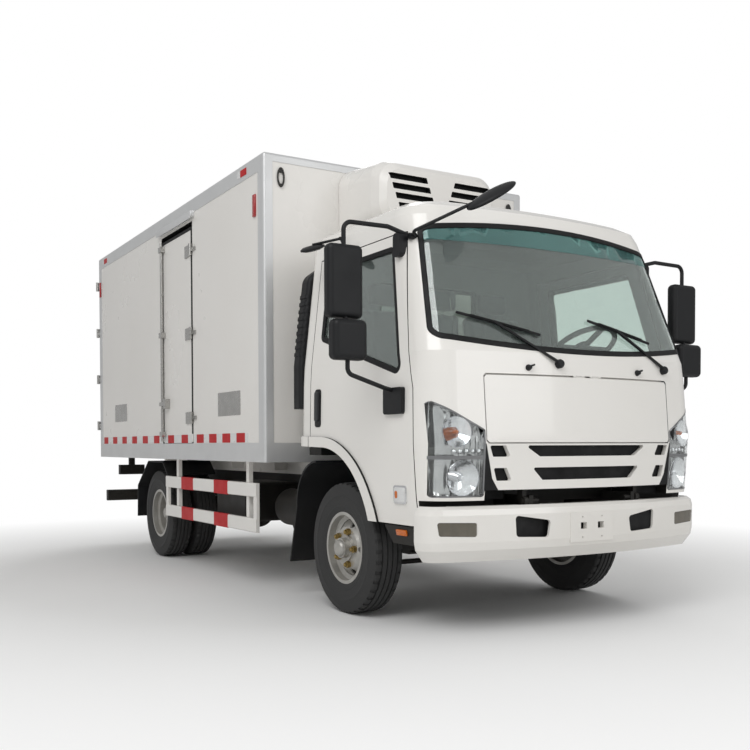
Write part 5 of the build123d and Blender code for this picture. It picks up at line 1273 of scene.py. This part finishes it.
@dataclass
class Dashboard:
    """Dashboard trim: binnacle and vents."""

    dark_z: float = 1.455
    hood_low: Triple = (0.27, FRONT_AXLE - 0.75, 1.462)
    hood_high: Triple = (0.59, FRONT_AXLE - 0.61, 1.53)
    hood_edge: float = 0.022
    vent_x: tuple[float, ...] = (-0.72, -0.12, 0.12, 0.76)
    vent_z: float = 1.415

    def build(self) -> None:
        """Builds and dresses the trim."""
        paint_node("dashboard", Finishes.trim, [(Finishes.dark_trim, lambda m, n: m.z > self.dark_z)])
        paint_node("steering_wheel", Finishes.dark_trim)
        hood = start_block("binnacle", self.hood_low, self.hood_high)
        dress(soften(hood, self.hood_edge, 3), "cab", Finishes.dark_trim)
        vents = []
        for x in self.vent_x:
            vent = start_block("vent", (-0.004, -0.06, -0.03), (0.006, 0.06, 0.03))
            sink(vent, lambda m, n: n.x > SQUARE, 0.008, (-0.006, 0, 0))
            vents.append(lay(vent, *surface("dashboard", (x, FRONT_AXLE, self.vent_z), (0, -1, 0))))
        dress(joined("dash_vents", vents), "cab", Finishes.black_abs)


@dataclass
class Bumper:
    """Front bumper with its fog lamps and air ducts, and the lamps at the back."""

    face_half: float = 0.96
    amber_x: float = 0.83
    duct_x: Span = (0.262, 0.53)
    duct_z: Span = (0.495, 0.65)
    duct_depth: Span = (0.049, 0.058)
    duct_border: float = 0.012
    duct_sink: float = 0.004

    def ducts(self) -> None:
        """Builds black plates behind the air holes, in painted shadow that stands for the shade in them."""
        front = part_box("front_bumper")[0].y
        for side, sign in SIDES:
            x0, x1 = sorted((sign * self.duct_x[0], sign * self.duct_x[1]))
            plate = start_block(f"bumper_duct_shadow_{side}", (x0, front + self.duct_depth[0], self.duct_z[0]),
                                (x1, front + self.duct_depth[1], self.duct_z[1]))
            sink(plate, lambda m, n: n.y < -SQUARE, self.duct_border, (0, self.duct_sink, 0))
            dress(soften(plate, FINE_EDGE, 1), "chassis", Finishes.shadow_black)

    def build(self) -> None:
        """Paints the bumper and the lenses and puts painted shadow behind the air holes."""
        paint_node("front_bumper", Finishes.enamel,
                   [(Finishes.frame_paint, lambda m, n: n.y > LEAN and abs(m.x) < self.face_half)])
        paint_node("chassis_lamps", Finishes.smoky_lens,
                   [(Finishes.frame_paint, lambda m, n: m.y > 0.0),
                    (Finishes.red_lens, lambda m, n: m.y > 0.0 and n.y > STEEP),
                    (Finishes.amber_lens,
                     lambda m, n: m.y > 0.0 and n.y > STEEP and abs(m.x) > self.amber_x)])
        self.ducts()


@dataclass
class LoadBody:
    """Insulated body: skins, rails, tape, markers, plates, lifting rings and kick strip."""

    tape_z: Span = (1.018, 1.084)
    tape_y: Span = (FRONT_AXLE + 1.057, FRONT_AXLE + 4.807)
    door_y: Span = (FRONT_AXLE + 2.135, FRONT_AXLE + 2.837)
    doorway_y: Span = (FRONT_AXLE + 2.0, FRONT_AXLE + 3.0)
    doorway_top: float = 2.8
    red_length: float = 0.15
    white_out: float = 0.0012
    red_out: float = 0.002
    upright_z: Span = (2.517, 2.665)
    upright_half: float = 0.02
    upright_out: float = 0.012
    strip_z: Span = (2.832, 2.878)
    strip_out: float = 0.003
    # Start and end along the truck and lower and upper edge of each blank plate
    plate_rows: tuple = ((1.19, 1.605, 1.21, 1.38), (3.91, 4.31, 1.23, 1.395))
    plate_out: float = 0.002
    ring_place: Span = (0.955, 2.76)
    ring_radius: float = 0.036
    ring_wire: float = 0.008
    ring_shape: tuple[float, ...] = (1.0, 0.62, 1.5, 1.0)
    kick_half: float = 0.98
    kick_z: Span = (0.888, 1.006)

    def flat(self, name: str, node: str, sign: float, span: Span, rise: Span, out: float, finish: Finish,
             body: str = "chassis") -> None:
        """Lays a thin plate on a side of the body.

        Args:
            name: name of the piece.
            node: CAD node that it lies on.
            sign: 1 for the left side, -1 for the right.
            span: start and end along the truck.
            rise: lower and upper edge.
            out: how far it stands out.
            finish: finish of the plate.
            body: body that carries it.
        """
        place, _ = from_side(node, sign, sum(span) / 2, sum(rise) / 2)
        x0, x1 = sorted((place.x - sign * 0.001, place.x + sign * out))
        piece = start_block(name, (x0, span[0], rise[0]), (x1, span[1], rise[1]))
        dress(soften(round_upright(piece, 0, 0.004, 2), out / 4, 1), body, finish)

    def jamb(self, middle: Vector, normal: Vector) -> bool:
        """Tells whether a face of the right wall lines the side doorway."""
        in_doorway = self.doorway_y[0] < middle.y < self.doorway_y[1] and middle.z < self.doorway_top
        return abs(normal.x) < HALF and in_doorway

    def tape(self) -> None:
        """Builds the red and white tape along both sides."""
        front, rear = self.door_y
        runs = {"right": [("body_right_wall", "chassis", self.tape_y[0], front - 0.03, 4),
                          ("side_door", "side_door", front + 0.02, rear - 0.02, 2),
                          ("body_right_wall", "chassis", rear + 0.03, self.tape_y[1], 6)],
                "left": [("body_left_wall", "chassis", *self.tape_y, 12)]}
        for side, sign in SIDES:
            for part, (node, body, start, end, count) in enumerate(runs[side]):
                name = f"tape_{side}_{part + 1}"
                self.flat(f"{name}_white", node, sign, (start, end), self.tape_z, self.white_out,
                          Finishes.white_film, body)
                pitch = (end - start) / count
                for k in range(count):
                    middle = start + (k + 0.5) * pitch
                    span = (middle - self.red_length / 2, middle + self.red_length / 2)
                    self.flat(f"{name}_red_{k + 1}", node, sign, span, self.tape_z, self.red_out,
                              Finishes.red_film, body)

    def markers(self) -> None:
        """Builds the red markers high on the sides."""
        rails = "body_edge_rails"
        for side, sign in SIDES:
            for end, y, node in (("front", FRONT_AXLE + 0.927, f"body_{side}_wall"),
                                 ("rear", FRONT_AXLE + 4.79, rails)):
                span = (y - self.upright_half, y + self.upright_half)
                self.flat(f"marker_{side}_{end}_upright", node, sign, span, self.upright_z, self.upright_out,
                          Finishes.red_lens)
            for end, y in (("front", FRONT_AXLE + 1.057), ("rear", FRONT_AXLE + 4.55)):
                for colour, span, finish in (("red", (y, y + 0.1), Finishes.red_film),
                                             ("white", (y + 0.1, y + 0.15), Finishes.white_film)):
                    self.flat(f"marker_{side}_{end}_{colour}", rails, sign, span, self.strip_z,
                              self.strip_out, finish)

    def plates(self) -> None:
        """Builds the blank plates riveted to the right side."""
        for index, (y0, y1, z0, z1) in enumerate(self.plate_rows):
            span = (FRONT_AXLE + y0, FRONT_AXLE + y1)
            self.flat(f"blank_plate_{index + 1}", "body_right_wall", -1.0, span, (z0, z1), self.plate_out,
                      Finishes.stainless)

    def rings(self) -> None:
        """Builds the oval lifting rings on the front wall."""
        turns = [t * math.pi / 6 for t in range(12)]
        thick, middle = self.ring_wire, self.ring_radius
        wire = [(thick * math.cos(t), middle + thick * math.sin(t)) for t in turns]
        ring = spun("ring", wire, 32, True)
        ring.data.transform(Matrix.Diagonal(self.ring_shape))
        pad = rounded_plate("pad", (-0.006, -0.012, 0.03), (0.004, 0.012, 0.062), 0, 0.008, FINE_EDGE)
        whole = joined("ring", [ring, pad])
        for side, sign in SIDES:
            place, normal = from_front("body_front_wall", sign * self.ring_place[0], self.ring_place[1])
            fitted = copied(whole, f"lifting_ring_{side}", onto(place + normal * self.ring_wire, normal))
            dress(fitted, "chassis", Finishes.iron)
        bpy.data.objects.remove(whole)

    def kick_strip(self) -> None:
        """Builds the dark strip under the front wall."""
        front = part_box("body_front_wall")[0].y
        strip = start_block("front_wall_kick_strip", (-self.kick_half, front - 0.003, self.kick_z[0]),
                            (self.kick_half, front + 0.001, self.kick_z[1]))
        dress(soften(strip, FINE_EDGE, 1), "chassis", Finishes.dark_trim)

    def build(self) -> None:
        """Builds and dresses the body."""
        paint_nodes(Finishes.gelcoat, "body_floor", "body_front_wall", "body_roof", "body_left_wall")
        paint_node("body_right_wall", Finishes.gelcoat, [(Finishes.rubber, self.jamb)])
        paint_nodes(Finishes.anodised, "body_edge_rails", "body_rear_frame")
        paint_node("door_hinges", Finishes.stainless)
        self.tape()
        self.markers()
        self.plates()
        self.rings()
        self.kick_strip()


@dataclass
class SideDoor:
    """Side door with its seal, drip rail and threshold."""

    front: float = FRONT_AXLE + 2.128
    rear: float = FRONT_AXLE + 2.844
    seal_width: float = 0.024
    seal_height: float = 0.002
    seal_bottom: float = 1.09
    rail_z: Span = (2.765, 2.81)
    rail_out: float = 0.03
    rail_over: float = 0.06
    lip: Triple = (-0.006, 0.0, -0.016)
    step_z: Span = (0.972, 1.012)
    step_short: float = 0.004

    def edge(self, middle: Vector, normal: Vector) -> bool:
        """Tells whether a face is an edge of the door."""
        return abs(normal.x) < HALF

    def outside(self, middle: Vector, normal: Vector) -> bool:
        """Tells whether a face is the outside of the door."""
        return normal.x < -SQUARE

    def build(self) -> None:
        """Builds and dresses the door's trim."""
        paint_node("side_door", Finishes.gelcoat, [(Finishes.rubber, self.edge)])
        seal = border_of(skin_of("side_door_seal", "side_door", self.outside), self.seal_width)
        seal = cut_level(seal, self.seal_bottom, True)
        dress(thicken(seal, self.seal_height), "side_door", Finishes.rubber)
        paint_node("side_door_gear", Finishes.stainless)
        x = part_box("body_right_wall")[0].x
        rail = start_block("door_drip_rail", (x - self.rail_out, self.front - self.rail_over, self.rail_z[0]),
                           (x + 0.001, self.rear + self.rail_over, self.rail_z[1]))
        with editing(rail):
            pick(rail, self.outside)
            bpy.ops.mesh.extrude_region_move(TRANSFORM_OT_translate={"value": self.lip})
        dress(soften(rail, BOLD_EDGE), "chassis", Finishes.anodised)
        step = start_block("door_threshold", (x - 0.003, self.front + self.step_short, self.step_z[0]),
                           (x + 0.001, self.rear - self.step_short, self.step_z[1]))
        dress(soften(step, FINE_EDGE, 1), "chassis", Finishes.black_abs)


@dataclass
class RearDoors:
    """Rear doors with the rubber between them."""

    seal_x: Span = (0.0005, 0.022)
    seal_y: Span = (-0.001, 0.0025)
    seal_short: float = 0.02

    def build(self) -> None:
        """Paints the doors and builds the rubber between them."""
        for side, _ in SIDES:
            paint_node(f"rear_{side}_door", Finishes.gelcoat)
            paint_node(f"rear_{side}_door_gear", Finishes.stainless)
        low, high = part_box("rear_left_door")
        seal = start_block("rear_door_seal",
                           (low.x + self.seal_x[0], high.y + self.seal_y[0], low.z + self.seal_short),
                           (low.x + self.seal_x[1], high.y + self.seal_y[1], high.z - self.seal_short))
        dress(soften(seal, FINE_EDGE, 1), "rear_left_door", Finishes.rubber)


@dataclass
class CoolingUnit:
    """Cooling unit: white cover with air slots in painted shadow black."""

    slot_depth: float = 0.043
    slots_back: float = 0.06
    slots_half: float = 0.43
    slots_z: Span = (2.48, 2.77)

    def build(self) -> None:
        """Paints the cover, and the inside of its slots black as painted shadow."""
        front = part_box("refrigeration_unit")[0].y

        def in_slot(middle: Vector, normal: Vector) -> bool:
            """Tells whether a face lies inside an air slot."""
            inside = (abs(middle.x) < self.slots_half and middle.y < front + self.slots_back
                      and self.slots_z[0] < middle.z < self.slots_z[1])
            return inside and (abs(normal.y) < SLANT or middle.y > front + self.slot_depth)

        paint_node("refrigeration_unit", Finishes.gelcoat, [(Finishes.shadow_black, in_slot)])


@dataclass
class Wheels:
    """Tyres with grooves, wheel nuts and hub caps."""

    radius: float = 0.389
    track: Span = (0.845, 0.748)
    dual: float = 0.23
    axle_z: float = 0.389
    rear_y: float = 1.4575
    nut_circle: float = 0.1016
    nuts: int = 5
    steps: int = 120
    sharp_angle: float = 30.0
    groove_x: tuple[float, ...] = (-0.05, -0.0165, 0.0165, 0.05)
    groove_half: Span = (0.005, 0.0035)
    groove_depth: float = 0.009
    crown_half: float = 0.078
    crown_drop: float = 0.005
    side_profile: Profile = ((0.0955, 0.335), (0.098, 0.312), (0.099, 0.31), (0.099, 0.306), (0.098, 0.304),
                             (0.097, 0.28), (0.093, 0.252), (0.0945, 0.249), (0.0935, 0.244), (0.086, 0.226),
                             (0.082, 0.2135))
    inner_profile: Profile = ((0.072, 0.2135), (0.075, 0.245), (0.082, 0.29), (0.077, 0.34), (0.066, 0.364))
    notch_x: Span = (0.056, 0.083)
    notch_radius: float = 0.37
    notch_depth: float = 0.006
    notch_every: int = 3
    cap_profile: Profile = ((-0.002, 0.052), (0.008, 0.05), (0.02, 0.044), (0.026, 0.034), (0.028, 0.0))

    def notch(self, middle: Vector, normal: Vector) -> bool:
        """Tells whether a face of the tyre is one of the shoulder notches.

        Args:
            middle: middle of the face.
            normal: its normal, not used.

        Returns:
            Whether it is.
        """
        step = math.floor(math.atan2(middle.z, middle.y) * self.steps / (2 * math.pi))
        shoulder = self.notch_x[0] < abs(middle.x) < self.notch_x[1]
        outer = math.hypot(middle.y, middle.z) > self.notch_radius
        return shoulder and outer and step % self.notch_every == 0

    def tyre(self) -> Piece:
        """Spins one tyre with its tread, shoulders and side ribs.

        Returns:
            The tyre about the origin, its axis along X.
        """
        edge = self.radius - self.crown_drop
        crown = [(-self.crown_half, edge)]
        wide, narrow = self.groove_half
        for x in self.groove_x:
            top = self.radius - 0.8 * x * x
            bottom = top - self.groove_depth
            crown += [(x - wide, top), (x - narrow, bottom), (x + narrow, bottom), (x + wide, top)]
        crown.append((self.crown_half, edge))
        side = [(0.086, self.radius - 0.012), (0.09, self.radius - 0.028), *self.side_profile]
        half = [*side, *self.inner_profile]
        tyre = spun("tyre", crown + half + [(-x, r) for x, r in reversed(half)], self.steps, True)
        with editing(tyre):
            pick(tyre, self.notch)
            bpy.ops.mesh.extrude_region_shrink_fatten(TRANSFORM_OT_shrink_fatten={"value": -self.notch_depth})
        return tyre

    def nut(self) -> Piece:
        """Builds one wheel nut along +X, with the stud's end in it.

        Returns:
            The nut about the origin.
        """
        nut = start_rod("nut", (-0.004, 0, 0), (0.022, 0, 0), 0.021, 6)
        sink(nut, lambda m, n: n.x > SQUARE, 0.006, (0.012, 0, 0))
        sink(nut, lambda m, n: n.x > SQUARE and m.x > 0.03, 0.004, (0.003, 0, 0))
        return soften(nut, 0.0015)

    def fit(self, sign: float, body: str, node: str, y: float, places: Sequence[float],
            stock: Sequence[Piece]) -> None:
        """Fits tyres, nuts and a hub cap to the wheels at one end of an axle.

        Args:
            sign: 1 for the left side, -1 for the right.
            body: body and CAD node of the wheels.
            node: CAD node of the tyres.
            y: place of the axle.
            places: where each tyre sits across the truck.
            stock: tyre, nut and cap to copy.
        """
        tyre, nut, cap = stock
        turn = Matrix.Identity(4) if sign > 0 else Matrix.Rotation(math.pi, 4, "Z")
        paint_node(body, Finishes.wheel_lacquer)
        made = [copied(tyre, "tyre_copy", Matrix.Translation((x, y, self.axle_z)) @ turn) for x in places]
        piece = joined(f"{node}_tread", made)
        dress(piece, body, Finishes.tyre, self.sharp_angle)
        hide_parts(node)
        studs = []
        for k in range(self.nuts):
            angle = 2 * math.pi * (k + 0.5) / self.nuts
            place, _ = from_side(body, sign, y + self.nut_circle * math.cos(angle),
                                 self.axle_z + self.nut_circle * math.sin(angle))
            studs.append(copied(nut, "stud", Matrix.Translation(place) @ turn))
        dress(joined(f"{body}_nuts", studs), body, Finishes.zinc)
        place, _ = from_side(body, sign, y, self.axle_z)
        fitted = copied(cap, f"{body}_cap", Matrix.Translation(place) @ turn)
        dress(fitted, body, Finishes.wheel_lacquer)

    def build(self) -> None:
        """Builds and dresses the wheels at both axles."""
        stock = (self.tyre(), self.nut(), spun("cap", self.cap_profile, 28))
        front, rear = self.track
        for side, sign in SIDES:
            twins = [sign * rear + shift * self.dual / 2 for shift in (-1, 1)]
            self.fit(sign, f"front_{side}_wheel", f"front_{side}_tyre", FRONT_AXLE, [sign * front], stock)
            self.fit(sign, f"rear_{side}_wheels", f"rear_{side}_tyres", self.rear_y, twins, stock)
        for part in stock:
            bpy.data.objects.remove(part)


@dataclass
class Chassis:
    """Frame, drive, tank, guards and mudguards."""

    guard_y: Span = (FRONT_AXLE + 1.062, FRONT_AXLE + 2.967)
    guard_z: Span = (0.395, 0.738)
    bar_half: float = 0.049
    guard_reds: Span = (0.34, 0.72)
    red_length: float = 0.27
    red_half: float = 0.0505
    red_out: Span = (0.02, 0.002)

    def guard_tape(self) -> None:
        """Builds the red blocks on the bars of the side guards."""
        rows = (("lower", self.guard_z[0] + self.bar_half), ("upper", self.guard_z[1] - self.bar_half))
        half = self.red_length / 2
        for side, sign in SIDES:
            for row, z in rows:
                for k, share in enumerate(self.guard_reds):
                    y = self.guard_y[0] + share * (self.guard_y[1] - self.guard_y[0])
                    place, _ = from_side("side_guards", sign, y, z)
                    x0, x1 = sorted((place.x - sign * self.red_out[0], place.x + sign * self.red_out[1]))
                    piece = start_block(f"guard_red_{side}_{row}_{k + 1}", (x0, y - half, z - self.red_half),
                                        (x1, y + half, z + self.red_half))
                    dress(soften(piece, FINE_EDGE, 1), "chassis", Finishes.red_film)

    def build(self) -> None:
        """Paints the chassis and builds the guard tape."""
        paint_nodes(Finishes.frame_paint, "ladder_frame", "front_axle", "rear_axle", "leaf_springs",
                    "rear_underrun_bar", "battery_box", "left_knuckle", "right_knuckle", "track_rod")
        paint_nodes(Finishes.iron, "powertrain", "exhaust_silencer")
        paint_node("fuel_tank", Finishes.tank)
        paint_nodes(Finishes.black_abs, "front_mudguards", "rear_mudguards")
        paint_node("side_guards", Finishes.enamel)
        self.guard_tape()


@dataclass
class Studio:
    """Pale floor, soft lamps, white surround and the camera."""

    eye: Triple = (-3.6234, -6.6947, 0.9977)
    yaw: float = 0.5242
    pitch: float = -0.0268
    roll: float = -0.0028
    lens: float = 44.6
    shift: Span = (0.0274, 0.1267)
    floor_size: float = 60.0
    floor_colours: tuple[str, str] = ("#f4f4f3", "#efefee")
    fade: Span = (2.5, 6.0)
    dim: float = 0.48
    # Name, place, target, side and power in watts of each lamp
    lamps: tuple = (("key", (-6.0, -6.0, 7.0), (0, 0, 1.2), 5.0, 300.0),
                    ("front", (2.0, -9.0, 4.0), (0, -2, 1.2), 4.0, 80.0),
                    ("back", (5.0, 7.0, 6.0), (0, 1, 1.2), 5.0, 190.0))

    def camera(self) -> None:
        """Sets the camera where the photograph was taken."""
        data = bpy.data.cameras.new("camera")
        data.lens = self.lens
        data.sensor_width = 36.0
        data.sensor_fit = "HORIZONTAL"
        data.shift_x, data.shift_y = self.shift
        data.clip_end = 100.0
        camera = bpy.data.objects.new("camera", data)
        level = math.cos(self.pitch)
        ahead = Vector((math.sin(self.yaw) * level, math.cos(self.yaw) * level, math.sin(self.pitch)))
        right = ahead.cross(Vector((0, 0, 1))).normalized()
        up = right.cross(ahead)
        turn = Matrix((right, up, -ahead)).transposed().to_4x4()
        camera.matrix_world = Matrix.Translation(self.eye) @ turn @ Matrix.Rotation(self.roll, 4, "Z")
        bpy.context.scene.collection.objects.link(camera)
        bpy.context.scene.camera = camera

    def lamp(self, name: str, place: Point, target: Point, size: float, power: float) -> None:
        """Adds a square soft lamp.

        Args:
            name: name of the lamp.
            place: where it hangs.
            target: where it points.
            size: side of its square.
            power: power in watts.
        """
        data = bpy.data.lights.new(name, "AREA")
        data.size = size
        data.energy = power
        lamp = bpy.data.objects.new(name, data)
        lamp.location = place
        lamp.rotation_euler = (Vector(target) - Vector(place)).to_track_quat("-Z", "Y").to_euler()
        bpy.context.scene.collection.objects.link(lamp)

    def floor(self) -> None:
        """Builds the floor, which keeps the shadow near the truck and fades to white."""
        deselect()
        bpy.ops.mesh.primitive_plane_add(size=self.floor_size)
        floor = settle("studio_floor")
        with editing(floor):
            bpy.ops.mesh.select_all(action="SELECT")
            bpy.ops.mesh.subdivide(number_cuts=4)
        material = bpy.data.materials.new("painted_studio_floor")
        material.use_nodes = True
        tree = material.node_tree
        shader = tree.nodes["Principled BSDF"]
        place = add_node(tree, "ShaderNodeTexCoord").outputs["Object"]
        tint = blended(tree, clouds(tree, place, 0.8), *(linear(code) for code in self.floor_colours))
        tree.links.new(tint, shader.inputs["Base Color"])
        shader.inputs["Roughness"].default_value = 0.9
        away = add_node(tree, "ShaderNodeVectorMath", {0: place}, operation="LENGTH").outputs["Value"]
        fade = ranged(tree, away, self.fade, (0.0, 1.0))
        share = reckoned(tree, "MULTIPLY", fade, eye_rays(tree))
        white = add_node(tree, "ShaderNodeEmission", {"Color": WHITE, "Strength": 1.0}).outputs[0]
        mixed = add_node(tree, "ShaderNodeMixShader", {0: share, 1: shader.outputs[0], 2: white}).outputs[0]
        tree.links.new(mixed, tree.nodes["Material Output"].inputs["Surface"])
        floor.data.materials.append(material)

    def surround(self) -> None:
        """Sets a white surround to the eye and a gentler one to the light."""
        world = bpy.data.worlds.new("surround")
        bpy.context.scene.world = world
        world.use_nodes = True
        tree = world.node_tree
        strength = ranged(tree, eye_rays(tree), (0.0, 1.0), (self.dim, 1.0))
        back = tree.nodes["Background"]
        back.inputs["Color"].default_value = WHITE
        tree.links.new(strength, back.inputs["Strength"])

    def build(self) -> None:
        """Builds the studio."""
        self.floor()
        self.surround()
        for row in self.lamps:
            self.lamp(*row)
        self.camera()


def main() -> None:
    """Builds the truck's looks in order."""
    logging.basicConfig(level=logging.INFO, format="%(relativeCreated)d ms %(message)s")
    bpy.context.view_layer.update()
    bpy.context.scene.view_settings.view_transform = "Standard"
    doors = [CabDoor(side, sign) for side, sign in SIDES]
    for part in (CabShell(), Wipers(), Headlamps(), *doors, DoorTopMirror(), Cushions(), Dashboard(),
                 Bumper(), LoadBody(), SideDoor(), RearDoors(), CoolingUnit(), Wheels(), Chassis(), Studio()):
        log.info("building %s", type(part).__name__)
        part.build()


if __name__ == "__main__":
    main()
